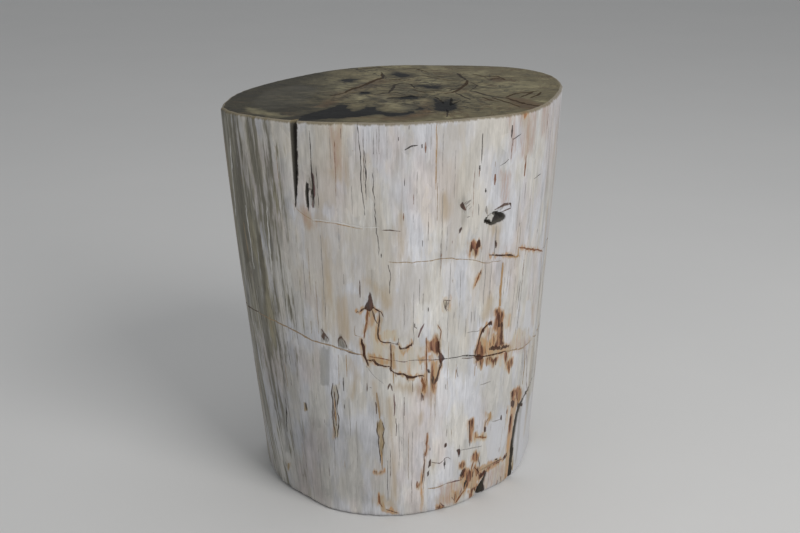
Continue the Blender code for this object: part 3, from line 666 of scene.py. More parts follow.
        ((483.4, 479.4), (479.6, 483.4), (476.4, 487.6), (473.4, 496.4), (480, 493.6),
         (484.6, 491), (484.8, 485)),
        ((304.8, 183.4), (306.6, 183.8), (309.8, 188), (309.6, 193), (308.6, 200), (307, 211),
         (305.8, 204), (305.2, 194)),
    ),
    "wash": (
        ((303, 211), (345, 224), (346, 300), (318, 300), (304, 240)),
        ((352, 228), (395, 230), (398, 262), (390, 300), (352, 290)),
        ((436, 124), (462, 124), (470, 200), (452, 262), (440, 262)),
        ((398, 262), (430, 262), (430, 300), (400, 300)),
        ((334, 118), (341, 118), (341, 180), (336, 180), (326, 176), (325, 156), (333, 150)),
        ((315, 120), (337, 120), (337, 205), (316, 205)),
        ((488, 223), (503, 221), (503, 232), (490, 232)),
        ((328, 290), (364, 292), (362, 346), (334, 342)),
        ((364, 282), (412, 296), (412, 340), (382, 340), (378, 300)),
    ),
    "olive": (
        # The first four are dark olive bands down the left flank, lying in its flutes: the stone's
        # own colour, and partly painted shade of the flute hollows
        ((232, 112), (236, 112), (238, 140), (240.6, 170), (243, 200), (247.6, 240), (249.6, 262),
         (246, 262), (243, 240), (239, 200), (235.6, 160), (232.6, 130)),
        ((243, 140), (245, 150), (247, 180), (249.4, 215), (250.6, 245), (248.8, 245),
         (246.6, 210), (244.4, 170)),
        ((254.6, 150), (256.6, 150), (258.6, 185), (260, 215), (261, 250), (259, 250),
         (257.6, 210), (256, 180)),
        ((266.4, 120), (269.4, 120), (270.4, 160), (271.4, 200), (274.6, 228), (277, 262),
         (270.4, 262), (267.6, 228), (266.4, 196), (267, 150)),
        ((495, 211), (499, 207.6), (504.6, 204.6), (505, 207), (500, 209.6), (497, 212)),
        ((321, 329), (325, 335), (328.6, 339), (327.6, 342.6), (321.4, 341)),
        ((338, 339), (341, 336.6), (345, 341.6), (347, 347.4), (339, 347)),
        ((443.4, 299.6), (449, 300.4), (448.4, 304), (446, 310), (443.8, 306)),
        ((333.4, 384), (337.4, 386), (338.8, 397), (337, 409), (339, 420), (337, 438),
         (334.6, 428), (333, 416), (333.2, 404), (331.8, 394)),
    ),
}

# Marks of the polished top, from the same photo
TOP_COURSES = (
    (INK, 2.0, (386, 99), (393, 97.6), (401.5, 97.2), (411.5, 96.4), (423.7, 97.2)),
    (INK, 1.4, (374, 94.6), (384, 93), (396, 92.6), (406, 95)),
    (INK, 1.5, (377.8, 94.6), (388.5, 92.6), (392.3, 89.4), (394.6, 85), (400, 83.4), (410.7, 84),
     (414.5, 87.9)),
    (INK, 1.8, (358.4, 92), (364.6, 92.8), (371.6, 92.8)),
    (BARK, 2.4, (381.6, 74), (383.5, 77.2), (372.4, 81.4), (361.7, 86.4), (351, 89.4),
     (343, 93.5)),
    (INK, 1.9, (468.2, 90.4), (475.7, 91.6), (484, 94.6), (496.4, 97), (508, 98.6)),
    (BARK, 2.4, (505.5, 97.7), (514.6, 100.6), (523.7, 103.6), (533.7, 105.4), (546, 107.2)),
    (BARK, 1.8, (506.3, 97), (516, 93.4), (528, 92.4), (538.7, 90.8)),
    (BARK, 1.6, (520, 97.4), (528.7, 94), (534, 91.6)),
    (INK, 1.5, (456.6, 73), (461, 76.8), (467.4, 80.4)),
    (BARK, 2.2, (467.4, 80.4), (466, 84.5), (459, 89.6), (452, 92.8), (443, 94)),
    (INK, 1.4, (455.6, 92.6), (464, 96.8), (470.7, 99.8)),
    (INK, 1.3, (435, 96.8), (440, 100), (444, 104)),
    (INK, 1.2, (451, 97.6), (451.6, 101), (450, 105)),
    (INK, 1.0, (460.6, 100.4), (455, 103.4), (450, 105.6)),
    (INK, 1.3, (424, 92), (436, 90.6), (448, 91), (461, 87.4)),
    (BARK, 1.6, (492, 97.6), (500, 100), (512, 104), (520, 107)),
    (BARK, 1.4, (530, 98), (538, 95), (541, 92)),
    (BARK, 1.4, (472, 74), (486, 77), (498, 76.4), (505, 79.6)),
    (BARK, 1.3, (389, 80.4), (397, 79.2), (404, 80.6), (413, 79.4)),
    (BARK, 1.0, (402, 67.6), (418, 69.2), (428, 72.4)),
    (BARK, 1.3, (356, 69.6), (372, 68), (388, 67.4)),
    (INK, 0.9, (446, 109.4), (447.4, 113), (447, 117)),
    (BARK, 1.3, (490, 79.8), (497, 78.2), (505, 79.8)),
    (BARK, 1.2, (482, 97), (490, 100), (501, 102.4)),
    (INK, 1.0, (381, 72.4), (383.8, 75), (382.4, 79)),
    (BARK, 1.4, (330, 96), (344, 93), (358, 92.4)),
    (BARK, 1.2, (413, 90), (424, 92.4), (434, 92)),
    (INK, 0.8, (470, 82), (478, 86), (470, 90)),
    (BARK, 1.0, (436, 78.4), (450, 80.4), (466, 80)),
    (BARK, 1.0, (420, 75), (432, 77.4), (444, 76)),
)
TOP_AREAS = {
    "pit": (
        ((297, 120.4), (300, 116.5), (310, 113), (322, 110.5), (333, 106.8), (340, 104),
         (346, 105), (349, 109.4), (353, 111.4), (362, 109.8), (366, 107.2), (372, 107.6),
         (377, 106.8), (375, 110), (381, 112), (388, 112.4), (396, 112.8), (402, 112.8),
         (413, 111), (417, 112.4), (405, 115.2), (396, 116.4), (388, 116), (376, 114.4),
         (368, 115.2), (358, 117), (345, 117.8), (330, 118.6), (312, 119.8), (302, 121)),
        ((433, 106.4), (437, 103), (443, 101.4), (446, 98.4), (449, 101), (451.4, 97.6),
         (452.4, 103), (457, 105.4), (456, 109), (448, 111.8), (440, 111.2), (435, 109.4)),
        ((394, 98.6), (404, 96.6), (412, 95.2), (419, 97.2), (416, 99), (406, 99.4)),
        ((416, 84.8), (430, 85.6), (442, 86.6), (438, 88.8), (427, 88.4)),
        ((391, 74.4), (398, 72.6), (406, 73.8), (411, 76.2), (404, 77.4), (396, 76.6)),
        ((414, 109.6), (421, 106.8), (424, 108), (418, 111)),
        ((341, 80.4), (348, 78.6), (356, 79.6), (352, 81.6), (344, 82)),
        ((430, 97.8), (436, 98.4), (440, 101.4), (436, 102)),
        ((360, 92), (370, 92), (368, 94), (361, 94)),
    ),
    "rust": (
        ((382, 116.6), (400, 116.6), (420, 111), (423, 100), (430, 99), (433, 112), (420, 118),
         (400, 120), (384, 120)),
        ((316, 108), (330, 98), (340, 92), (354, 93), (340, 101), (328, 107)),
        ((508, 97), (522, 98), (537, 103), (549, 107), (530, 110), (514, 106)),
        ((486, 79), (497, 76.6), (507, 79.4), (498, 82)),
        ((350, 88), (366, 83), (380, 78), (386, 82), (366, 89), (352, 93)),
    ),
    "grey": (
        ((398, 92), (414, 90), (420, 94), (404, 96), (394, 95.6)),
        ((402, 104), (418, 100), (424, 104), (414, 110.6), (402, 110)),
        ((391, 88.6), (398, 84), (410, 85), (412, 89), (402, 91)),
        ((250, 106), (262, 92), (300, 84), (322, 90), (300, 104), (270, 110)),
        ((370, 97), (384, 94), (398, 99), (384, 103)),
    ),
    "tan": (
        ((390, 65), (410, 63.6), (413, 66.6), (398, 68.4)),
        ((428, 66.4), (442, 65.6), (447, 69.4), (434, 70)),
        ((352, 96), (362, 93), (368, 98), (356, 102)),
        ((368, 70), (384, 71), (386, 77), (370, 81)),
        ((248, 107), (268, 112), (290, 116.6), (272, 117), (250, 112)),
        ((490, 84), (520, 80), (548, 84), (540, 90), (506, 92)),
        ((386, 103), (400, 101), (402, 109), (388, 110)),
        ((420, 79), (440, 80), (446, 84), (424, 84)),
        ((462, 72), (486, 70), (490, 74), (470, 77)),
        ((336, 86), (352, 82), (350, 88), (338, 91)),
    ),
}

# How much of the weathered olive-grey shows at each angle, in degrees, and how much painted shade
# darkens the side there
FLANK_SHADE = (
    (0, 0.35), (30, 0.62), (55, 0.40), (80, 0.75), (110, 0.50), (140, 0.85), (165, 0.62),
    (190, 0.85), (205, 0.88), (213, 0.78), (218, 0.66), (223, 0.56), (228, 0.46), (232, 0.36),
    (236, 0.26), (242, 0.15), (252, 0.10), (266, 0.05), (290, 0.0), (325, 0.0), (340, 0.10),
    (350, 0.25),
)


# Share of it that is left towards the foot: heights, and shares there
LOW_SHADE = ((0.0, 0.12, 0.30), (0.62, 0.72, 1.0))


def outline_radius(radii, angle):
    """Radius at an angle, on a closed curve through the control radii."""
    place = np.mod(angle, 2 * math.pi) / (2 * math.pi) * len(radii)
    first = np.floor(place).astype(int)
    t = place - first
    a, b, c, d = (np.take(radii, (first + step) % len(radii)) for step in (-1, 0, 1, 2))
    slope = c - a
    bend = 2 * a - 5 * b + 4 * c - d
    twist = 3 * b - a - 3 * c + d
    return b + 0.5 * t * (slope + t * (bend + t * twist))


def loft_radius(angle, height):
    """Radius of the side: a parabola in height through the three outlines."""
    s = height / HEIGHT
    foot = outline_radius(FOOT_RADII, angle)
    waist = outline_radius(WAIST_RADII, angle)
    top = outline_radius(TOP_RADII, angle)
    return foot * (1 - s) * (1 - 2 * s) + waist * 4 * s * (1 - s) + top * s * (2 * s - 1)


class Chart:
    """The side laid flat: distance round the waist, 0 at the front, and height."""

    angles = np.linspace(-1.5 * math.pi, 0.5 * math.pi, 1441)

    def __init__(self):
        radius = loft_radius(self.angles, HEIGHT / 2)
        waist = np.stack([radius * np.cos(self.angles), radius * np.sin(self.angles)], 1)
        steps = np.linalg.norm(np.diff(waist, axis=0), axis=1)
        self.around = np.concatenate([[0.0], np.cumsum(steps)])
        self.around -= np.interp(-0.5 * math.pi, self.angles, self.around)
        self.girth = self.around[-1] - self.around[0]

    def from_angle(self, angle):
        """Distance round the waist at an angle."""
        turned = np.mod(np.asarray(angle) + 1.5 * math.pi, 2 * math.pi) - 1.5 * math.pi
        return np.interp(turned, self.angles, self.around)

    def to_angle(self, around):
        """Angle at a distance round the waist."""
        low = self.around[0]
        inside = low + np.mod(np.asarray(around) - low, self.girth)
        return np.interp(inside, self.around, self.angles)


CHART = Chart()


def photo_rays(pixels):
    """Directions from the photo's camera through its pixels."""
    right = (pixels[:, 0] - PHOTO_WIDTH / 2) / FOCAL_PIXELS
    down = (pixels[:, 1] - PHOTO_HEIGHT / 2) / FOCAL_PIXELS
    forward = math.cos(PITCH) - down * math.sin(PITCH)
    upward = -math.sin(PITCH) - down * math.cos(PITCH)
    return np.stack([right, forward, upward], 1)


def on_top(pixels):
    """Plan places on the top that pixels of the photo show."""
    rays = photo_rays(np.asarray(pixels, float))
    reach = (HEIGHT - CAMERA_PLACE[2]) / rays[:, 2]
    return (CAMERA_PLACE + rays * reach[:, None])[:, :2]


def on_side(pixels):
    """Chart places on the side that pixels of the photo show."""
    rays = photo_rays(np.asarray(pixels, float))
    reaches = np.arange(1.00, 1.45, 0.0005)
    track = CAMERA_PLACE + rays[:, None, :] * reaches[None, :, None]
    height = np.clip(track[..., 2], 0, HEIGHT)
    angle = np.arctan2(track[..., 1] - AXIS[1], track[..., 0] - AXIS[0])
    gap = np.hypot(track[..., 0] - AXIS[0], track[..., 1] - AXIS[1]) - loft_radius(angle, height)
    first = np.where((gap < 0).any(1), (gap < 0).argmax(1), np.abs(gap).argmin(1))
    rows = np.arange(len(rays))
    return np.stack([CHART.from_angle(angle[rows, first]), track[rows, first, 2]], 1)


def strip(places, points, sizes):
    """Distance of places from a course of points.

    Returns the plain distance, the distance signed by side, the size of the
    course there, less what the place lies beyond its ends, and its direction.
    """
    best = np.full(len(places), np.inf)
    signed = np.zeros(len(places))
    size = np.zeros(len(places))
    heading = np.zeros((len(places), 2))
    last = len(points) - 2
    for index in range(last + 1):
        run = points[index + 1] - points[index]
        length = max(float(np.hypot(*run)), 1e-6)
        run = run / length
        offset = places - points[index]
        along = offset @ run
        side = offset[:, 0] * run[1] - offset[:, 1] * run[0]
        inside = np.clip(along, 0, length)
        gap = np.hypot(side, along - inside)
        at_start = (along < 0) & (index == 0)
        at_end = (along > length) & (index == last)
        beyond = np.where(at_start | at_end, np.abs(along - inside), 0.0)
        nearer = gap < best
        best = np.where(nearer, gap, best)
        here = sizes[index] + (sizes[index + 1] - sizes[index]) * inside / length - beyond
        size = np.where(nearer, here, size)
        signed = np.where(nearer, np.where(beyond > 0, side, np.copysign(gap, side)), signed)
        heading[nearer] = run
    return best, signed, size, heading


class Marks:
    """What the mesh stores of the stone's marks, for one face of it.

    Thin marks go in layers that hold a signed distance, a half width and a
    tone, with room between neighbours, so that a line stays sharp between
    points of the mesh. Stains are fields: a distance, positive inside.
    """

    def __init__(self, places, spacing, fields, girth=None, shift=0.0):
        self.places = places
        self.shift = np.broadcast_to(shift, places.shape)
        self.spacing = spacing
        self.girth = girth
        self.layers = np.tile((0.0, -FAR, 0.0), (LAYER_COUNT, len(places), 1))
        self.taken = np.zeros((LAYER_COUNT, len(places)), bool)
        self.fields = {name: np.full(len(places), -FAR) for name in fields}

    def near(self, points, margin):
        """Indices of the places near a course, and those places beside it."""
        places = self.places
        if self.girth:
            middle = points[:, 0].mean()
            turned = np.mod(places[:, 0] - middle + self.girth / 2, self.girth)
            places = np.stack([turned + middle - self.girth / 2, places[:, 1]], 1)
        low = points.min(0) - margin
        high = points.max(0) + margin
        chosen = np.nonzero(((places > low) & (places < high)).all(1))[0]
        return chosen, places[chosen]

    def line(self, points, sizes, tone):
        """Draw a thin mark in the first layer that has room for it."""
        chosen, places = self.near(points, 0.015)
        if not len(chosen):
            return
        best, signed, size, heading = strip(places, points, sizes)
        spacing = self.spacing[chosen]
        reach = np.abs(heading[:, 1]) * spacing[:, 0] + np.abs(heading[:, 0]) * spacing[:, 1]
        reach = 1.15 * reach + max(sizes)
        held = best < reach
        room = best < 2.1 * reach
        clashes = [(self.taken[layer, chosen] & held).sum() for layer in range(LAYER_COUNT)]
        layer = int(np.argmin(clashes))
        free = held & ~self.taken[layer, chosen]
        kept = chosen[free]
        self.layers[layer, kept, 0] = signed[free]
        self.layers[layer, kept, 1] = size[free]
        self.layers[layer, kept, 2] = tone
        self.taken[layer, chosen[room]] = True

    def stain(self, name, points, sizes):
        """Add a chain of discs to a field."""
        chosen, places = self.near(points, max(sizes) + FAR)
        if not len(chosen):
            return
        places = places + self.shift[chosen]
        best = np.full(len(chosen), -FAR)
        for start, end, first, second in zip(points, points[1:], sizes, sizes[1:]):
            run = end - start
            share = np.clip((places - start) @ run / max(run @ run, 1e-12), 0, 1)
            gap = np.hypot(*(places - start - share[:, None] * run).T)
            best = np.maximum(best, first + (second - first) * share - gap)
        field = self.fields[name]
        field[chosen] = np.maximum(field[chosen], best)

    def area(self, name, ring):
        """Add the inside of a closed outline to a field."""
        chosen, places = self.near(ring, FAR)
        if not len(chosen):
            return
        depth = depth_inside(places + self.shift[chosen], ring)
        field = self.fields[name]
        field[chosen] = np.maximum(field[chosen], depth)


def depth_inside(places, ring):
    """Distance of flat places from a closed outline, positive inside it."""
    x, y = places[:, 0], places[:, 1]
    crossings = np.zeros(len(places), int)
    nearest = np.full(len(places), np.inf)
    for start, end in zip(ring, np.roll(ring, -1, axis=0)):
        run = end - start
        spans = (start[1] > y) != (end[1] > y)
        rise = run[1] if abs(run[1]) > 1e-12 else 1e-12
        crossings += spans & (x < start[0] + (y - start[1]) * run[0] / rise)
        share = np.clip((places - start) @ run / max(run @ run, 1e-12), 0, 1)
        nearest = np.minimum(nearest, np.hypot(*(places - start - share[:, None] * run).T))
    return np.where(crossings % 2 == 1, nearest, -nearest)


def roughened(rng, points, step=0.004, sway=0.00035):
    """A course with points added between its own, each moved a little aside."""
    result = [points[0]]
    for start, end in zip(points, points[1:]):
        count = max(int(np.hypot(*(end - start)) / step), 1)
        for k in range(1, count + 1):
            place = start + (end - start) * k / count
            moved = 0.0 if k == count else 1.0
            result.append(place + rng.normal(0, sway, 2) * moved)
    return np.array(result)


def uneven(rng, sizes, amount):
    """Half widths that swell and shrink along a course."""
    return sizes * np.exp(rng.normal(0, amount, len(sizes)))


def tapered(points, half_width):
    """Half widths that thin out towards both ends of a course."""
    count = len(points)
    share = np.linspace(0, 1, count)
    return half_width * (0.45 + 0.55 * np.sin(math.pi * share) ** 0.5)


def draw_uprights(marks, rng):
    """The short upright marks that the photo shows."""
    for tone, rows in UPRIGHTS.items():
        for across, top, bottom, half_width in rows:
            middle = (top + bottom) / 2
            places = on_side(((across, top), (across, middle), (across, bottom)))
            places[:, 0] = places[1, 0]
            course = roughened(rng, places, 0.006, 0.00018)
            marks.line(course, tapered(course, half_width / 1000), tone)


def draw_courses(marks, rng, courses, place):
    """The wandering marks that the photo shows, on one face of the log."""
    for tone, half_width, *pixels in courses:
        course = roughened(rng, place(pixels))
        amount = 0.34 if tone in (RUST, UMBER) else 0.18
        sizes = uneven(rng, tapered(course, half_width / 1000), amount)
        marks.line(course, sizes, tone)
        if tone in (RUST, DARK_RUST) and place is on_side:
            marks.stain("ochre", course, sizes + rng.uniform(0.0003, 0.0016, len(sizes)))


def draw_stains(marks, stains, place):
    """The stains that the photo shows, on one face of the log."""
    for name, chains in stains.items():
        for chain in chains:
            rows = np.array(chain)
            marks.stain(name, place(rows[:, :2]), rows[:, 2] / 1000)


def draw_areas(marks, areas, place):
    """The stains that have outlines of their own, on one face of the log."""
    for name, rings in areas.items():
        for ring in rings:
            marks.area(name, place(ring))


def ragged(places):
    """A small shift up or down the grain that makes the ends of stains ragged."""
    rng = np.random.default_rng(SEED + 4)
    turned = places[:, 0] / CHART.girth * 2 * math.pi
    rise = 0.0011 * waves(rng, turned, places[:, 1], 20, (70, 220), 60.0)
    return np.stack([np.zeros(len(places)), rise], 1)


def scatter_hairlines(marks, rng):
    """Fine upright marks in loose clusters, few and faint on the front."""
    tones = (INK, SLATE, SLATE, UMBER, UMBER, TAN, TAN, RUST)
    for _ in range(150):
        around = rng.uniform(-0.5, 0.5) * CHART.girth
        middle = rng.uniform(0.02, 0.40)
        on_front = abs(around) < 0.17
        for _ in range(3 if on_front else rng.integers(2, 6)):
            across = around + rng.normal(0, 0.010)
            height = middle + rng.normal(0, 0.022)
            half_length = rng.uniform(0.06, 1.0) ** 2 * 0.030
            half_width = rng.uniform(0.0001, 0.0003) if on_front else rng.uniform(0.00015, 0.0005)
            low = max(height - half_length, 0.004)
            high = min(height + half_length, HEIGHT - 0.004)
            points = np.array(((across, high), (across, (low + high) / 2), (across, low)))
            course = roughened(rng, points, 0.006, 0.0002)
            marks.line(course, tapered(course, half_width), tones[rng.integers(len(tones))])


def crack_round_back(marks, rng, start, end, drift):
    """A crack across the grain, from the right edge round the back to the left edge."""
    span = end[0] - start[0]
    count = int(abs(span) / 0.008)
    share = np.linspace(0, 1, count)
    level = start[1] + (end[1] - start[1]) * share
    walk = np.cumsum(rng.normal(0, drift, count))
    walk -= share * walk[-1]
    course = np.stack([start[0] + span * share, level + walk], 1)
    tones = (INK, UMBER, TAN, RUST)
    first = 0
    while first < count - 2:
        last = min(first + int(rng.integers(6, 14)), count - 1)
        piece = course[first:last + 1]
        tone = tones[rng.integers(len(tones))] if last < 0.85 * count else UMBER
        marks.line(piece, tapered(piece, rng.uniform(0.0004, 0.0010)), tone)
        if tone == RUST:
            marks.stain("ochre", piece, np.full(len(piece), 0.0012))
            draw_rust_drips(marks, rng, piece)
        first = last if rng.uniform() < 0.8 else last + 2
    return course


def draw_rust_drips(marks, rng, course):
    """Rust that has crept up and down the grain from a crack."""
    for place in course[::2]:
        rise = rng.uniform(0.006, 0.030)
        fall = rng.uniform(0.002, 0.012)
        across = place[0] + rng.normal(0, 0.002)
        points = np.array((
            (across, place[1] + rise),
            (across + rng.normal(0, 0.0008), place[1]),
            (across, place[1] - fall),
        ))
        width = rng.uniform(0.0003, 0.0012)
        marks.line(roughened(rng, points, 0.004, 0.0005), np.full(99, width), RUST)
        if rng.uniform() < 0.6:
            marks.stain("rust", points, np.array((0.0002, rng.uniform(0.001, 0.004), 0.0002)))
            marks.stain("ochre", points, np.array((0.0012, rng.uniform(0.002, 0.006), 0.001)))


def scatter_stains(marks, rng):
    """Stains of the sides and back: tan and grey streaks, small dark spots."""
    for name, count, half_width in (("tan", 60, 0.0050), ("grey", 60, 0.0055), ("pit", 26, 0.0016)):
        for _ in range(count):
            around = rng.uniform(0.18, CHART.girth - 0.18)
            height = rng.uniform(0.03, 0.39)
            long = rng.uniform(0.01, 0.07) if name != "pit" else rng.uniform(0.001, 0.004)
            wide = half_width * rng.uniform(0.4, 1.0)
            points = np.array(((around, height + long), (around, height), (around, height - long)))
            marks.stain(name, points, wide * np.array((0.3, 1.0, 0.3)))


def mark_side(places, spacing):
    """Every mark of the side."""
    rng = np.random.default_rng(SEED)
    marks = Marks(places, spacing, SIDE_FIELDS, CHART.girth, ragged(places))
    draw_courses(marks, rng, COURSES, on_side)
    draw_uprights(marks, rng)
    draw_stains(marks, STAINS, on_side)
    draw_areas(marks, AREAS, on_side)
    for right_end, left_end, shortened, drift in (
        ((533, 338), (258, 312), 0.0, 0.0016),
        ((542.5, 251.5), (247, 222), 0.05, 0.0022),
    ):
        right, left = on_side((right_end, left_end))
        left[0] -= shortened
        crack_round_back(marks, rng, right, (left[0] + CHART.girth, left[1]), drift)
    scatter_stains(marks, rng)
    scatter_hairlines(marks, rng)
    return marks


def mark_top(places, spacing):
    """Every mark of the top."""
    rng = np.random.default_rng(SEED + 1)
    marks = Marks(places, spacing, TOP_FIELDS)
    draw_courses(marks, rng, TOP_COURSES, on_top)
    draw_areas(marks, TOP_AREAS, on_top)
    return marks


def spaced(low, high, spacing):
    """Values from low to high whose steps follow a spacing function."""
    fine = np.linspace(low, high, 8001)
    density = 1 / np.array([spacing(value) for value in fine])
    steps = 0.5 * (density[1:] + density[:-1]) * np.diff(fine)
    count = np.concatenate([[0.0], np.cumsum(steps)])
    return np.interp(np.linspace(0, count[-1], round(count[-1]) + 1), count, fine)


def stretch_spacing(stretches, otherwise):
    """A spacing function from a list of stretches."""
    def spacing(value):
        for low, high, step in stretches:
            if low <= value <= high:
                return step
        return otherwise
    return spacing


def waves(rng, angle, height, count, turns, rises):
    """A smooth seeded field, about 1 in size, that closes on itself round the log."""
    total = np.zeros(np.broadcast(angle, height).shape)
    for _ in range(count):
        turn = rng.integers(*turns)
        rise = rng.uniform(-rises, rises)
        total += np.cos(turn * angle + rise * height + rng.uniform(0, 2 * math.pi))
    return total / math.sqrt(count)


def flank_shade(angle):
    """How much weathered stone shows at an angle, and how much painted shade darkens it."""
    degrees = np.degrees(np.mod(angle, 2 * math.pi))
    stations = np.array(FLANK_SHADE + ((360, FLANK_SHADE[0][1]),))
    return np.interp(degrees, stations[:, 0], stations[:, 1])


def side_relief(angle, height):
    """How far the surface stands off the smooth loft, before the cuts."""
    rng = np.random.default_rng(SEED + 2)
    shade = flank_shade(angle)
    relief = 0.00030 * waves(rng, angle, height, 9, (3, 15), 30.0)
    relief += (0.00008 + 0.00034 * shade) * waves(rng, angle, height, 12, (26, 75), 5.0)
    relief += 0.00004 * waves(rng, angle, height, 14, (90, 190), 12.0)
    for across, half_width, depth in FLUTES:
        place = on_side(((across, FLUTE_ROW),))[0, 0]
        centre = CHART.to_angle(place) + 0.012 * np.sin(height * 9 + across)
        gap = np.abs(np.angle(np.exp(1j * (angle - centre)))) * GRAIN_RADIUS
        relief -= depth / 1000 * np.exp(-(gap / (half_width / 1000)) ** 2)
    return relief


def cut_depths(places):
    """Depth of the cuts and the knot hole at chart places."""
    depth = np.zeros(len(places))
    for stations in CUTS:
        rows = np.array(stations)
        points = np.stack([CHART.from_angle(np.radians(rows[:, 0])), rows[:, 1]], 1)
        gap, _, half_width, _ = strip(places, points, rows[:, 2] / 2)
        _, _, deepest, _ = strip(places, points, rows[:, 3])
        inside = np.clip(1 - gap / np.maximum(half_width, 1e-5), 0, 1)
        depth = np.maximum(depth, np.maximum(deepest, 0) * inside)
    inside = depth_inside(places, on_side(KNOT_OUTLINE))
    chip = depth_inside(places, on_side(CHIP_OUTLINE))
    hole = KNOT_DEPTH * np.clip(inside / KNOT_BEVEL, 0, 1) ** 0.7
    spared = np.clip(1 + chip / 0.0008, 0, 1)
    return np.maximum(depth, hole * (1 - 0.80 * spared))


def side_rows():
    """Rows from the foot to the top: chart height, real height, and inset."""
    rows = []
    for k in range(RIM_STEPS):
        turn = 0.5 * math.pi * k / RIM_STEPS
        rise = FOOT_RIM * (1 - math.sin(0.5 * math.pi - turn))
        rows.append((rise, rise, FOOT_RIM * (1 - math.sin(turn))))
    heights = spaced(FOOT_RIM, HEIGHT - TOP_RIM, stretch_spacing(ROW_STRETCHES, ROW_STEP))
    rows += [(height, height, 0.0) for height in heights]
    for k in range(1, RIM_STEPS + 1):
        turn = 0.5 * math.pi * k / RIM_STEPS
        rise = HEIGHT - TOP_RIM * (1 - math.sin(turn))
        rows.append((rise, rise, TOP_RIM * (1 - math.cos(turn))))
    return np.array(rows)


def side_columns():
    """Distances round the waist of the mesh's columns, the last one left out."""
    back = stretch_spacing(COLUMN_STRETCHES, COLUMN_BACK)

    def spacing(around):
        return back(math.degrees(CHART.to_angle(around)) % 360)

    return spaced(CHART.around[0], CHART.around[-1], spacing)[:-1]


def face_fill(rng, ring, step):
    """Points inside a ring on a jittered triangular grid, and triangles to the ring."""
    low, high = ring.min(0), ring.max(0)
    places = []
    for row, y in enumerate(np.arange(low[1], high[1], step * 0.866)):
        for x in np.arange(low[0] + (row % 2) * step / 2, high[0], step):
            places.append((x, y))
    places = np.array(places) + rng.uniform(-0.12, 0.12, (len(places), 2)) * step
    places = places[depth_inside(places, ring) > 0.55 * step]
    vertices = [Vector(place) for place in np.concatenate([ring, places])]
    outline = [list(range(len(ring)))]
    result = delaunay_2d_cdt(vertices, [], outline, 1, 1e-7)
    origins = [sources[0] for sources in result[3]]
    triangles = [[origins[corner] for corner in face] for face in result[2]]
    return places, triangles


def log_mesh():
    """The closed mesh of the log, with its marks stored on its points."""
    rng = np.random.default_rng(SEED + 3)
    columns = side_columns()
    rows = side_rows()
    angles = CHART.to_angle(columns)
    angle, height = np.meshgrid(angles, rows[:, 0])
    around, inset = np.meshgrid(columns, rows[:, 2])
    places = np.stack([around.ravel(), height.ravel()], 1)
    depth = cut_depths(places).reshape(angle.shape)
    chips = 0.00020 * (inset > 0) * waves(rng, angle, height, 10, (30, 160), 5.0)
    radius = loft_radius(angle, height) + side_relief(angle, height) - depth - inset + chips
    x = AXIS[0] + radius * np.cos(angle)
    y = AXIS[1] + radius * np.sin(angle)
    z = np.broadcast_to(rows[:, 1][:, None], x.shape)
    side = np.stack([x.ravel(), y.ravel(), z.ravel()], 1)

    wide, tall = len(columns), len(rows)
    step_around = 0.5 * (np.roll(columns, -1) - np.roll(columns, 1)) % (CHART.girth / 2)
    step_up = np.gradient(rows[:, 0])
    spacing = np.stack([a.ravel() for a in np.meshgrid(step_around, np.maximum(step_up, 0.0008))], 1)
    marks = mark_side(places, spacing)

    below = np.arange(wide * (tall - 1)).reshape(tall - 1, wide)
    beside = np.roll(below, -1, axis=1)
    quads = np.stack([below, beside, beside + wide, below + wide], -1).reshape(-1, 4)

    top_ring = side[-wide:, :2]
    foot_ring = side[:wide, :2]
    top_places, top_faces = face_fill(rng, top_ring, TOP_STEP)
    foot_places, foot_faces = face_fill(rng, foot_ring, FOOT_STEP)
    top_start = len(side)
    foot_start = top_start + len(top_places)

    def lifted(flat, level):
        return np.column_stack([flat, np.full(len(flat), level)])

    points = np.concatenate([side, lifted(top_places, HEIGHT), lifted(foot_places, 0.0)])
    faces = quads.tolist()
    first_of_ring = top_start - wide
    for face in top_faces:
        faces.append([k + first_of_ring if k < wide else k - wide + top_start for k in face])
    for face in foot_faces:
        faces.append([k if k < wide else k - wide + foot_start for k in reversed(face)])

    mesh = bpy.data.meshes.new("petrified_log")
    mesh.from_pydata(points.tolist(), [], faces)
    materials = np.zeros(len(faces), np.int32)
    materials[len(quads):len(quads) + len(top_faces)] = 1
    materials[len(quads) + len(top_faces):] = 2
    mesh.polygons.foreach_set("material_index", materials)

    top_and_ring = np.concatenate([np.arange(first_of_ring, foot_start)])
    top_spacing = np.full((len(top_and_ring), 2), TOP_STEP)
    top_marks = mark_top(points[top_and_ring, :2], top_spacing)
    store_marks(mesh, marks, np.arange(len(side)), "side")
    store_marks(mesh, top_marks, top_and_ring, "top")

    grain = np.zeros((len(points), 3))
    grain[:len(side), 0] = (GRAIN_RADIUS * np.cos(angle)).ravel()
    grain[:len(side), 1] = (GRAIN_RADIUS * np.sin(angle)).ravel()
    grain[:len(side), 2] = places[:, 1]
    store(mesh, "grain", grain)
    hollow = np.zeros(len(points))
    hollow[:len(side)] = depth.ravel()
    store(mesh, "hollow", hollow)
    flank = np.zeros(len(points))
    flank[:len(side)] = (flank_shade(angle) * np.interp(height, LOW_SHADE[0], LOW_SHADE[1])).ravel()
    store(mesh, "flank", flank)
    edge = np.zeros(len(points))
    edge[:len(side)] = np.clip((places[:, 1] - HEIGHT + 0.008) / 0.008, 0, 1)
    store(mesh, "rim", edge)
    return mesh


def store(mesh, name, values):
    """Keep a number or a vector for each point of the mesh."""
    kind, key = ("FLOAT", "value") if values.ndim == 1 else ("FLOAT_VECTOR", "vector")
    layer = mesh.attributes.new(name, kind, "POINT")
    layer.data.foreach_set(key, np.ascontiguousarray(values, np.float32).ravel())


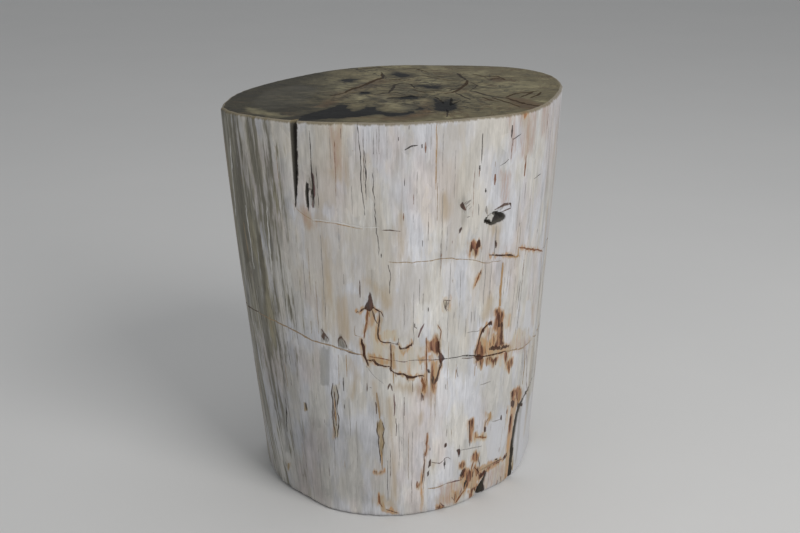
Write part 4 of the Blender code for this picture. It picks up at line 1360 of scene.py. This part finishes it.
def store_marks(mesh, marks, indices, face):
    """Keep one face's layers and fields on the mesh."""
    count = len(mesh.vertices)
    for number, layer in enumerate(marks.layers):
        values = np.tile((0.0, -FAR, 0.0), (count, 1))
        values[indices] = layer
        store(mesh, f"{face}_line_{number}", values)
    for name, field in marks.fields.items():
        values = np.full(count, -FAR)
        values[indices] = field
        store(mesh, f"{face}_{name}", values)


class Material:
    """Short calls that build one material's nodes."""

    def __init__(self, name):
        self.material = bpy.data.materials.new(name)
        self.material.use_nodes = True
        self.tree = self.material.node_tree
        self.shader = self.tree.nodes["Principled BSDF"]

    def node(self, kind, values, **settings):
        """A node with its settings, and its inputs linked or set."""
        node = self.tree.nodes.new(kind)
        for key, value in settings.items():
            setattr(node, key, value)
        for socket, value in values.items():
            self.feed(node.inputs[socket], value)
        return node

    def feed(self, socket, value):
        """Link a socket to an output, or set its value."""
        if isinstance(value, bpy.types.NodeSocket):
            self.tree.links.new(value, socket)
        else:
            socket.default_value = value

    def attribute(self, name):
        """A number stored on the mesh."""
        return self.node("ShaderNodeAttribute", {}, attribute_name=name).outputs["Fac"]

    def vector(self, name):
        """A vector stored on the mesh."""
        return self.node("ShaderNodeAttribute", {}, attribute_name=name).outputs["Vector"]

    def math(self, operation, *values):
        """A sum on two or three numbers."""
        node = self.node("ShaderNodeMath", dict(enumerate(values)), operation=operation)
        return node.outputs[0]

    def total(self, *values):
        """The sum of several numbers."""
        result = values[0]
        for value in values[1:]:
            result = self.math("ADD", result, value)
        return result

    def scaled(self, vector, scale):
        """A vector stretched along each axis."""
        node = self.node("ShaderNodeVectorMath", {0: vector, 1: scale}, operation="MULTIPLY")
        return node.outputs[0]

    def noise(self, vector, scale, detail=3.0, rough=0.55):
        """Cloudy noise with its own stretch, about 0.5 in the middle."""
        values = {"Vector": self.scaled(vector, scale), "Scale": 1.0, "Detail": detail,
                  "Roughness": rough}
        return self.node("ShaderNodeTexNoise", values).outputs["Fac"]

    def around_zero(self, value, size):
        """Noise moved to lie about zero, with a given size."""
        return self.math("MULTIPLY", self.math("SUBTRACT", value, 0.5), size)

    def step(self, value, low, high):
        """A smooth step from 0 to 1 between two values."""
        values = {"Value": value, "From Min": low, "From Max": high}
        node = self.node("ShaderNodeMapRange", values, interpolation_type="SMOOTHSTEP")
        return node.outputs["Result"]

    def mix(self, share, first, second):
        """One colour or the other, by share."""
        values = {0: share, 6: first, 7: second}
        node = self.node("ShaderNodeMix", values, data_type="RGBA")
        return node.outputs[2]

    def warped(self, vector, scale, size):
        """A vector moved about by noise."""
        values = {"Vector": vector, "Scale": scale, "Detail": 4.0}
        noise = self.node("ShaderNodeTexNoise", values).outputs["Color"]
        centred = self.node("ShaderNodeVectorMath", {0: noise, 1: (0.5, 0.5, 0.5)},
                            operation="SUBTRACT").outputs[0]
        moved = self.scaled(centred, (size, size, size))
        return self.node("ShaderNodeVectorMath", {0: vector, 1: moved}, operation="ADD").outputs[0]

    def ridge(self, value, width):
        """Thin wandering lines where noise passes its middle value."""
        gap = self.math("ABSOLUTE", self.math("SUBTRACT", value, 0.5))
        return self.step(gap, width, width * 0.25)

    def cells(self, vector, scale, feature, output):
        """Cells with straight sides: a colour for each, or the distance to their edges."""
        return self.node("ShaderNodeTexVoronoi", {"Vector": vector, "Scale": scale},
                         feature=feature).outputs[output]

    def multiply(self, colour, number):
        """A colour made brighter or darker by a number."""
        node = self.node("ShaderNodeMix", {0: 1.0, 6: colour, 7: number}, data_type="RGBA",
                         blend_type="MULTIPLY")
        return node.outputs[2]

    def blend(self, share, first, second):
        """One number or the other, by share."""
        node = self.node("ShaderNodeMix", {0: share, 2: first, 3: second}, data_type="FLOAT")
        return node.outputs[0]

    def ramp(self, value, stops):
        """A colour that follows a number."""
        node = self.node("ShaderNodeValToRGB", {"Fac": value})
        elements = node.color_ramp.elements
        while len(elements) < len(stops):
            elements.new(0.5)
        for element, (place, colour) in zip(elements, stops):
            element.position = place
            element.color = colour
        return node.outputs["Color"]

    def lines(self, colour, face, warp, strength):
        """Thin marks over a colour. Returns the colour and how deep the marks are."""
        depth = 0.0
        for number in range(LAYER_COUNT):
            parts = self.node("ShaderNodeSeparateXYZ", {0: self.vector(f"{face}_line_{number}")})
            gap = self.math("ABSOLUTE", parts.outputs[0])
            level = self.math("SUBTRACT", self.math("ADD", parts.outputs[1], warp), gap)
            mark = self.math("MULTIPLY", self.step(level, -0.00022, 0.00022), strength)
            colour = self.mix(mark, colour, self.ramp(parts.outputs[2], TONE_COLOURS))
            depth = self.math("MAXIMUM", mark, depth)
        return colour, depth

    def finish(self, colour, roughness, relief, distance, strength):
        """Feed the shader."""
        bump = self.node("ShaderNodeBump", {"Height": relief, "Distance": distance,
                                            "Strength": strength})
        self.feed(self.shader.inputs["Base Color"], colour)
        self.feed(self.shader.inputs["Roughness"], roughness)
        self.feed(self.shader.inputs["Normal"], bump.outputs["Normal"])
        return self.material


TONE_COLOURS = (
    (INK, (0.045, 0.038, 0.034, 1)),
    (SLATE, (0.290, 0.272, 0.255, 1)),
    (UMBER, (0.100, 0.060, 0.044, 1)),
    (TAN, (0.340, 0.245, 0.150, 1)),
    (RUST, (0.200, 0.075, 0.026, 1)),
    (OCHRE, (0.400, 0.250, 0.120, 1)),
    (PLUM, (0.150, 0.080, 0.078, 1)),
    (DARK_RUST, (0.048, 0.016, 0.008, 1)),
    (BARK, (0.046, 0.028, 0.016, 1)),
    (PAINTED_HIGHLIGHT, (0.680, 0.670, 0.640, 1)),
)
WARM_WHITE = (0.585, 0.570, 0.540, 1)
COOL_WHITE = (0.600, 0.605, 0.635, 1)
PINK_WHITE = (0.575, 0.515, 0.505, 1)
BEIGE = (0.460, 0.405, 0.325, 1)
OLIVE_GREY = (0.225, 0.212, 0.170, 1)
OLIVE_DARK = (0.140, 0.128, 0.095, 1)
KHAKI = (0.350, 0.318, 0.222, 1)
SLAB_GREY = (0.260, 0.260, 0.250, 1)
PALE_OLIVE = (0.360, 0.342, 0.275, 1)
DARK_STREAK = (0.115, 0.108, 0.085, 1)
FINE_LINE = (0.230, 0.200, 0.165, 1)
TAN_STAIN = (0.430, 0.325, 0.195, 1)
GREY_STAIN = (0.270, 0.260, 0.235, 1)
RUST_STAIN = (0.275, 0.130, 0.060, 1)
RUST_DARK = (0.090, 0.028, 0.014, 1)
MAROON = (0.195, 0.058, 0.040, 1)
ORANGE_STAIN = (0.500, 0.255, 0.090, 1)
PALE_CREAM = (0.560, 0.480, 0.340, 1)
BLUSH = (0.420, 0.285, 0.230, 1)
MUSTARD = (0.250, 0.165, 0.045, 1)
DEEP_RUST = (0.040, 0.014, 0.008, 1)
PIT_AND_SHADOW_COLOUR = (0.030, 0.024, 0.020, 1)
CUT_SHADE_COLOUR = (0.060, 0.054, 0.042, 1)


def side_material():
    """Polished fossil wood seen along the grain."""
    m = Material("fossil_wood_side")
    grain = m.vector("grain")
    patch = m.noise(grain, (34, 34, 13), 4)
    blotch = m.noise(grain, (85, 85, 30), 4, 0.6)
    band = m.noise(grain, (58, 58, 8), 4, 0.6)
    streak = m.noise(grain, (150, 150, 20), 4, 0.6)
    thread = m.noise(grain, (400, 400, 44), 3, 0.6)
    fibre = m.noise(grain, (1050, 1050, 70), 2)
    hair = m.noise(grain, (520, 520, 16), 2)
    cluster = m.noise(grain, (24, 24, 9), 3)
    shade = m.attribute("flank")

    colour = m.mix(m.step(patch, 0.42, 0.58), WARM_WHITE, COOL_WHITE)
    colour = m.mix(m.math("MULTIPLY", m.step(cluster, 0.50, 0.66), 0.60), colour, PINK_WHITE)
    level = m.node("ShaderNodeSeparateXYZ", {0: grain}).outputs[2]
    warmth = m.blend(m.step(m.math("ADD", level, m.around_zero(patch, 0.10)), 0.09, 0.20), 0.35, 1.0)
    warm_bands = m.math("MULTIPLY", m.step(band, 0.56, 0.66), 0.24)
    warm_streaks = m.math("MULTIPLY", m.step(streak, 0.58, 0.68), 0.22)
    colour = m.mix(m.math("MULTIPLY", warm_bands, warmth), colour, BEIGE)
    colour = m.mix(m.math("MULTIPLY", warm_streaks, warmth), colour, BEIGE)
    bent = m.scaled(m.warped(grain, 90.0, 0.008), (1.0, 1.0, 0.30))
    wide_block, small_block = (
        m.node("ShaderNodeSeparateXYZ", {0: m.cells(bent, count, "F1", "Color")}).outputs[0]
        for count in (62.0, 150.0)
    )
    warm_blocks = m.math("MULTIPLY", m.step(wide_block, 0.60, 0.64), 0.24)
    colour = m.mix(m.math("MULTIPLY", warm_blocks, warmth), colour, BEIGE)
    bright = m.total(m.around_zero(blotch, 0.40), m.around_zero(streak, 0.28),
                     m.around_zero(thread, 0.46), m.around_zero(fibre, 0.40),
                     m.around_zero(wide_block, 0.12), m.around_zero(small_block, 0.12),
                     m.math("MULTIPLY", warmth, 0.09), 0.94)
    colour = m.multiply(colour, bright)
    fine = m.math("MULTIPLY", m.step(hair, 0.60, 0.72), m.step(cluster, 0.44, 0.60))
    colour = m.mix(m.math("MULTIPLY", fine, 0.30), colour, FINE_LINE)

    ribbon = m.noise(grain, (210, 210, 7), 4, 0.6)
    weathered = m.mix(m.step(ribbon, 0.44, 0.56), PALE_OLIVE, OLIVE_GREY)
    weathered = m.mix(m.math("MULTIPLY", m.step(band, 0.52, 0.62), 0.6), weathered, KHAKI)
    weathered = m.multiply(weathered, m.total(m.around_zero(thread, 0.8),
                                              m.around_zero(fibre, 0.9), 1.0))
    weathered = m.mix(m.math("MULTIPLY", m.step(streak, 0.57, 0.63), 0.50), weathered, DARK_STREAK)
    split = m.total(shade, m.around_zero(band, 1.0), m.around_zero(ribbon, 1.3),
                    m.around_zero(thread, 0.8))
    colour = m.mix(m.step(split, 0.40, 0.66), colour, weathered)
    # Painted shade: the colour is darkened by up to a quarter where the flank share is high, as on
    # the left flank
    colour = m.multiply(colour, m.math("SUBTRACT", 1.0, m.math("MULTIPLY", shade, 0.24)))

    fray = m.around_zero(m.noise(grain, (150, 150, 18), 4, 0.65), 0.022)
    # Painted light and painted shade: the light areas brighten the front by up to 15 per cent, the
    # shade areas darken it by up to 17 per cent
    light = m.step(m.math("ADD", m.attribute("side_light"), fray), -0.0060, 0.0060)
    painted_shade = m.step(m.math("ADD", m.attribute("side_painted_shade"), fray), -0.0080, 0.0090)
    colour = m.multiply(colour, m.total(m.math("MULTIPLY", light, 0.15),
                                        m.math("MULTIPLY", painted_shade, -0.17), 1.0))
    smooth = m.step(m.attribute("side_smooth"), -0.0008, 0.0012)
    colour = m.mix(m.math("MULTIPLY", smooth, 0.72), colour, COOL_WHITE)
    warp = m.total(m.around_zero(m.noise(grain, (260, 260, 90), 3), 0.0045),
                   m.around_zero(m.noise(grain, (900, 900, 200), 2), 0.0020))
    wash = m.step(m.math("ADD", m.attribute("side_wash"), m.math("MULTIPLY", fray, 1.6)),
                  -0.0040, 0.0030)
    colour = m.mix(m.math("MULTIPLY", wash, m.total(m.math("MULTIPLY", patch, 0.9), -0.10)), colour,
                   BEIGE)
    tan = m.step(m.math("ADD", m.attribute("side_tan"), fray), -0.0060, 0.0060)
    colour = m.mix(m.math("MULTIPLY", tan, 0.62), colour, TAN_STAIN)
    grey = m.step(m.total(m.attribute("side_grey"), fray, warp), -0.0045, 0.0070)
    colour = m.mix(m.math("MULTIPLY", grey, 0.60), colour, GREY_STAIN)
    slab = m.step(m.math("ADD", m.attribute("side_slab"), m.math("MULTIPLY", warp, 0.7)),
                  -0.0012, 0.0016)
    colour = m.mix(m.math("MULTIPLY", slab, 0.55), colour, SLAB_GREY)
    # Dark olive stains and figures, and bands in the flutes that are partly painted shade
    olive = m.step(m.total(m.attribute("side_olive"), m.math("MULTIPLY", fray, 0.3), warp),
                   -0.0018, 0.0020)
    olive = m.math("MULTIPLY", olive, m.total(m.math("MULTIPLY", m.step(streak, 0.40, 0.56), 0.4),
                                              0.34))
    colour = m.mix(olive, colour, m.multiply(OLIVE_DARK, m.total(m.around_zero(thread, 1.4), 0.9)))

    cream = m.step(m.total(m.attribute("side_cream"), m.math("MULTIPLY", fray, 0.4), warp),
                   -0.0016, 0.0016)
    cream_colour = m.mix(m.step(thread, 0.50, 0.66), PALE_CREAM, ORANGE_STAIN)
    cream_share = m.total(m.step(streak, 0.40, 0.58), 0.35)
    colour = m.mix(m.math("MULTIPLY", cream, m.math("MULTIPLY", cream_share, 0.50)), colour,
                   cream_colour)
    blush = m.step(m.total(m.attribute("side_blush"), fray), -0.0040, 0.0040)
    blush = m.math("MULTIPLY", blush, m.total(m.step(thread, 0.42, 0.58), 0.25))
    colour = m.mix(m.math("MULTIPLY", blush, 0.50), colour, BLUSH)
    mustard = m.step(m.total(m.attribute("side_mustard"), m.math("MULTIPLY", fray, 0.3), warp),
                     -0.0010, 0.0012)
    colour = m.mix(m.math("MULTIPLY", mustard, 0.85), colour,
                   m.mix(m.step(thread, 0.42, 0.60), MUSTARD, TAN_STAIN))

    some_fray = m.math("MULTIPLY", fray, 0.42)
    ochre_field = m.total(m.attribute("side_ochre"), some_fray, warp)
    rust_field = m.total(m.attribute("side_rust"), m.math("MULTIPLY", fray, 0.50), warp)
    halo = m.math("MAXIMUM", m.step(ochre_field, -0.0016, 0.0016),
                  m.step(rust_field, -0.0034, 0.0002))
    halo_colour = m.mix(m.step(thread, 0.38, 0.62), ORANGE_STAIN, TAN_STAIN)
    colour = m.mix(m.math("MULTIPLY", halo, 0.80), colour, halo_colour)
    core = m.step(rust_field, -0.0009, 0.0012)
    clot = m.noise(grain, (300, 300, 130), 4, 0.6)
    rust = m.mix(m.math("MULTIPLY", m.step(blotch, 0.44, 0.54), 0.75), RUST_STAIN, MAROON)
    rust = m.mix(m.step(m.total(thread, clot), 0.94, 1.12), rust, RUST_DARK)
    streaked = m.total(m.math("MULTIPLY", m.step(thread, 0.40, 0.56), 0.40), 0.54)
    colour = m.mix(m.math("MULTIPLY", core, streaked), colour, rust)

    line_warp = m.around_zero(m.noise(grain, (800, 800, 200), 2), 0.00080)
    broken = m.step(m.noise(grain, (500, 500, 120), 3), 0.30, 0.50)
    colour, crack = m.lines(colour, "side", line_warp, m.blend(broken, 0.48, 0.95))
    deep = m.step(m.math("ADD", m.attribute("side_deep"), m.math("MULTIPLY", warp, 0.8)),
                  -0.0004, 0.0005)
    colour = m.mix(m.math("MULTIPLY", deep, 0.92), colour,
                   m.mix(m.step(thread, 0.50, 0.66), DEEP_RUST, RUST_DARK))
    # Dark pits and spots, and painted shadow where the pit areas lie in the groove, the open crack,
    # the notch and the slot
    pit = m.step(m.math("ADD", m.attribute("side_pit"), warp), -0.0002, 0.0009)
    colour = m.mix(pit, colour, PIT_AND_SHADOW_COLOUR)
    # Painted shade in the cuts and the knot hole: darker the deeper they go, near black at the bottom
    depth = m.attribute("hollow")
    hollow = m.step(depth, 0.0001, 0.0016)
    cut_shade = m.mix(m.step(depth, 0.0030, 0.0060), CUT_SHADE_COLOUR, PIT_AND_SHADOW_COLOUR)
    colour = m.mix(m.math("MULTIPLY", hollow, 0.94), colour, cut_shade)
    chip = m.step(m.math("ADD", m.attribute("side_chip"), m.math("MULTIPLY", warp, 0.4)), 0.0, 0.0005)
    colour = m.mix(m.math("MULTIPLY", chip, 0.90), colour, WARM_WHITE)
    rim = m.step(m.total(m.attribute("rim"), m.around_zero(band, 0.4), m.around_zero(thread, 0.5)),
                 0.58, 0.88)
    colour = m.mix(m.math("MULTIPLY", rim, 0.86), colour, RIM_COLOUR)

    rough = m.total(m.math("MULTIPLY", thread, 0.24), m.math("MULTIPLY", crack, 0.30),
                    m.math("MULTIPLY", core, 0.16), m.math("MULTIPLY", hollow, 0.40), 0.29)
    relief = m.total(m.math("MULTIPLY", streak, 0.55), m.math("MULTIPLY", thread, 0.34),
                     m.math("MULTIPLY", fibre, 0.16), m.math("MULTIPLY", crack, -0.80),
                     m.math("MULTIPLY", core, -0.25), m.math("MULTIPLY", pit, -0.8),
                     m.math("MULTIPLY", fine, -0.25))
    m.shader.inputs["Specular IOR Level"].default_value = 0.28
    return m.finish(colour, rough, relief, 0.0006, 0.60)


RIM_COLOUR = (0.185, 0.150, 0.088, 1)
TOP_KHAKI = (0.148, 0.126, 0.072, 1)
TOP_PALE = (0.275, 0.245, 0.145, 1)
TOP_DARK = (0.046, 0.041, 0.027, 1)
TOP_SHADOW = (0.028, 0.025, 0.018, 1)
TOP_BROWN = (0.100, 0.062, 0.034, 1)
TOP_RUST = (0.085, 0.048, 0.024, 1)
TOP_GREY = (0.080, 0.074, 0.056, 1)
TOP_BLACK = (0.006, 0.006, 0.006, 1)


def top_material():
    """Polished fossil wood seen across the grain."""
    m = Material("fossil_wood_top")
    place = m.node("ShaderNodeTexCoord", {}).outputs["Object"]
    broad = m.noise(place, (8, 8, 8), 4)
    mottle = m.noise(place, (30, 46, 30), 6, 0.66)
    veil = m.noise(place, (14, 60, 14), 5, 0.65)
    speck = m.noise(place, (420, 420, 420), 3, 0.6)
    bend = m.noise(place, (14, 14, 14), 3)
    centred = m.node("ShaderNodeVectorMath", {0: place, 1: (0.045, 0.060, HEIGHT)},
                     operation="DISTANCE").outputs["Value"]
    rings = m.math("SINE", m.math("MULTIPLY", m.math("ADD", centred, m.around_zero(bend, 0.05)),
                                  1150.0))
    across = m.node("ShaderNodeSeparateXYZ", {0: place}).outputs[0]
    centre_weight = m.step(m.node("ShaderNodeVectorMath", {0: place, 1: (0.010, 0.015, HEIGHT)},
                                  operation="DISTANCE").outputs["Value"], 0.150, 0.040)
    left = m.total(across, m.around_zero(broad, 0.22), m.around_zero(veil, 0.06))

    khaki = m.ramp(mottle, ((0.30, TOP_DARK), (0.44, TOP_KHAKI), (0.58, TOP_KHAKI),
                            (0.70, TOP_PALE)))
    olive = m.ramp(mottle, ((0.36, TOP_SHADOW), (0.56, TOP_DARK), (0.78, TOP_GREY)))
    colour = m.mix(m.step(left, -0.100, -0.030), olive, khaki)
    browned = m.math("MULTIPLY", m.step(veil, 0.54, 0.68), m.step(bend, 0.44, 0.58))
    colour = m.mix(m.math("MULTIPLY", browned, 0.72), colour, TOP_BROWN)
    colour = m.mix(m.math("MULTIPLY", m.step(rings, -0.2, 1.0), 0.18), colour, TOP_SHADOW)
    colour = m.mix(m.math("MULTIPLY", m.step(speck, 0.56, 0.72), 0.24), colour, TOP_PALE)
    grit = m.noise(place, (95, 150, 95), 5, 0.65)

    warp = m.total(m.around_zero(m.noise(place, (95, 95, 95), 4), 0.0190),
                   m.around_zero(m.noise(place, (420, 420, 420), 3), 0.0050))
    pale = m.step(m.math("ADD", m.attribute("top_tan"), warp), -0.0060, 0.0050)
    colour = m.mix(m.math("MULTIPLY", pale, 0.50), colour, TOP_PALE)
    grey = m.step(m.math("ADD", m.attribute("top_grey"), warp), -0.0060, 0.0060)
    colour = m.mix(m.math("MULTIPLY", grey, 0.55), colour, TOP_GREY)
    brown = m.step(m.math("ADD", m.attribute("top_rust"), warp), -0.0060, 0.0040)
    colour = m.mix(m.math("MULTIPLY", brown, 0.68), colour, TOP_BROWN)

    crackled = m.step(m.total(centre_weight, m.around_zero(bend, 1.2)), 0.30, 0.62)
    bent = m.warped(place, 20.0, 0.030)
    block = m.node("ShaderNodeSeparateXYZ", {0: m.cells(bent, 30.0, "F1", "Color")}).outputs[0]
    blocks = m.ramp(block, ((0.0, TOP_DARK), (0.30, TOP_KHAKI), (0.65, TOP_PALE), (1.0, TOP_GREY)))
    colour = m.mix(m.math("MULTIPLY", crackled, 0.26), colour, blocks)
    contrast = m.blend(centre_weight, 1.5, 3.6)
    gritty = m.math("MULTIPLY", m.around_zero(grit, 1.0), contrast)
    colour = m.multiply(colour, m.total(gritty, m.around_zero(veil, 1.2), 1.0))
    edges = m.cells(bent, 30.0, "DISTANCE_TO_EDGE", "Distance")
    seam = m.math("MULTIPLY", m.step(edges, 0.055, 0.012), crackled)
    thin = m.math("MULTIPLY", m.ridge(m.noise(place, (9, 13, 9), 6, 0.55), 0.010),
                  m.step(m.total(centre_weight, m.around_zero(broad, 1.5)), 0.10, 0.40))
    rusty = m.math("MULTIPLY", m.ridge(m.noise(place, (17, 21, 17), 5, 0.6), 0.010),
                   m.step(across, -0.060, 0.030))
    fine = m.math("MAXIMUM", m.math("MULTIPLY", seam, 0.40), m.math("MULTIPLY", thin, 0.80))
    colour = m.mix(m.math("MULTIPLY", rusty, 0.70), colour, TOP_RUST)
    colour = m.mix(fine, colour, TOP_SHADOW)

    line_warp = m.around_zero(m.noise(place, (260, 260, 260), 3), 0.0026)
    colour, crack = m.lines(colour, "top", line_warp, 0.90)
    smoke = m.step(m.math("ADD", m.attribute("top_pit"), warp), -0.0095, 0.0010)
    colour = m.mix(m.math("MULTIPLY", smoke, 0.62), colour, TOP_SHADOW)
    black = m.step(m.math("ADD", m.attribute("top_pit"), m.math("MULTIPLY", warp, 0.7)),
                   -0.0010, 0.0010)
    colour = m.mix(black, colour, TOP_BLACK)

    rough = m.total(m.math("MULTIPLY", mottle, 0.16), m.math("MULTIPLY", speck, 0.10),
                    m.math("MULTIPLY", crack, 0.25), 0.20)
    relief = m.total(m.math("MULTIPLY", speck, 0.10), m.math("MULTIPLY", crack, -0.80),
                     m.math("MULTIPLY", fine, -0.3), m.math("MULTIPLY", black, -0.15))
    m.shader.inputs["Specular IOR Level"].default_value = 0.02
    return m.finish(colour, rough, relief, 0.0005, 0.5)


def foot_material():
    """The sawn foot: matt, with faint straight saw marks."""
    m = Material("fossil_wood_foot")
    place = m.node("ShaderNodeTexCoord", {}).outputs["Object"]
    mottle = m.noise(place, (40, 40, 40), 5, 0.6)
    grit = m.noise(place, (700, 700, 700), 3)
    saw = m.math("SINE", m.math("MULTIPLY", m.node("ShaderNodeSeparateXYZ", {0: place}).outputs[0],
                                1400.0))
    colour = m.ramp(mottle, ((0.30, (0.170, 0.150, 0.115, 1)), (0.50, (0.320, 0.295, 0.240, 1)),
                             (0.75, (0.470, 0.440, 0.370, 1))))
    rough = m.math("ADD", m.math("MULTIPLY", grit, 0.2), 0.62)
    relief = m.total(m.math("MULTIPLY", grit, 0.5), m.math("MULTIPLY", saw, 0.2), mottle)
    return m.finish(colour, rough, relief, 0.0008, 0.7)


def stool():
    """The stool, in place of its solid."""
    mesh = log_mesh()
    for material in (side_material(), top_material(), foot_material()):
        mesh.materials.append(material)
    mesh.shade_smooth()
    mesh.set_sharp_from_angle(angle=math.radians(50.0))
    piece = bpy.data.objects.new("petrified_log", mesh)
    bpy.context.scene.collection.objects.link(piece)
    return piece


def floor_material():
    """Plain pale floor."""
    m = Material("pale_floor")
    place = m.node("ShaderNodeTexCoord", {}).outputs["Object"]
    cloud = m.noise(place, (3, 3, 3), 3)
    colour = m.mix(cloud, (0.680, 0.680, 0.675, 1), (0.715, 0.712, 0.705, 1))
    rough = m.math("ADD", m.math("MULTIPLY", cloud, 0.1), 0.75)
    return m.finish(colour, rough, m.noise(place, (300, 300, 300), 2), 0.0003, 0.2)


def floor():
    """A plain pale floor that fills the picture."""
    half = 30.0
    mesh = bpy.data.meshes.new("floor")
    corners = [(-half, -half, 0), (half, -half, 0), (half, half, 0), (-half, half, 0)]
    mesh.from_pydata(corners, [], [(0, 1, 2, 3)])
    mesh.materials.append(floor_material())
    plane = bpy.data.objects.new("floor", mesh)
    bpy.context.scene.collection.objects.link(plane)
    return plane


def soft_light(name, place, target, size, power, colour):
    """A square area light turned to a target."""
    light = bpy.data.lights.new(name, "AREA")
    light.shape = "SQUARE"
    light.size = size
    light.energy = power
    light.color = colour
    lamp = bpy.data.objects.new(name, light)
    lamp.location = place
    lamp.rotation_euler = (Vector(target) - Vector(place)).to_track_quat("-Z", "Y").to_euler()
    bpy.context.scene.collection.objects.link(lamp)


def studio():
    """Soft studio light: a large key from the right, one overhead, a pale surround."""
    soft_light("key", (1.5, -1.9, 2.0), (0.0, 0.0, 0.18), 1.5, 46.0, (1.0, 0.985, 0.965))
    soft_light("overhead", (0.2, 0.4, 2.6), (0.0, 0.0, 0.30), 1.6, 8.0, (0.97, 0.985, 1.0))
    world = bpy.data.worlds.new("studio")
    world.use_nodes = True
    background = world.node_tree.nodes["Background"]
    background.inputs["Color"].default_value = (0.97, 0.985, 1.0, 1)
    background.inputs["Strength"].default_value = 0.34
    bpy.context.scene.world = world
    bpy.context.scene.view_settings.view_transform = "Standard"


def camera():
    """The camera at the photo's place and angle."""
    data = bpy.data.cameras.new("photo_camera")
    data.lens = 35.0
    data.sensor_fit = "HORIZONTAL"
    data.sensor_width = data.lens * PHOTO_WIDTH / FOCAL_PIXELS
    view = bpy.data.objects.new("photo_camera", data)
    view.location = CAMERA_PLACE
    view.rotation_euler = (0.5 * math.pi - PITCH, 0.0, 0.0)
    bpy.context.scene.collection.objects.link(view)
    bpy.context.scene.camera = view


camera()
studio()
floor()
log = stool()
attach(log, "root")
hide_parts("petrified_wood_stool")
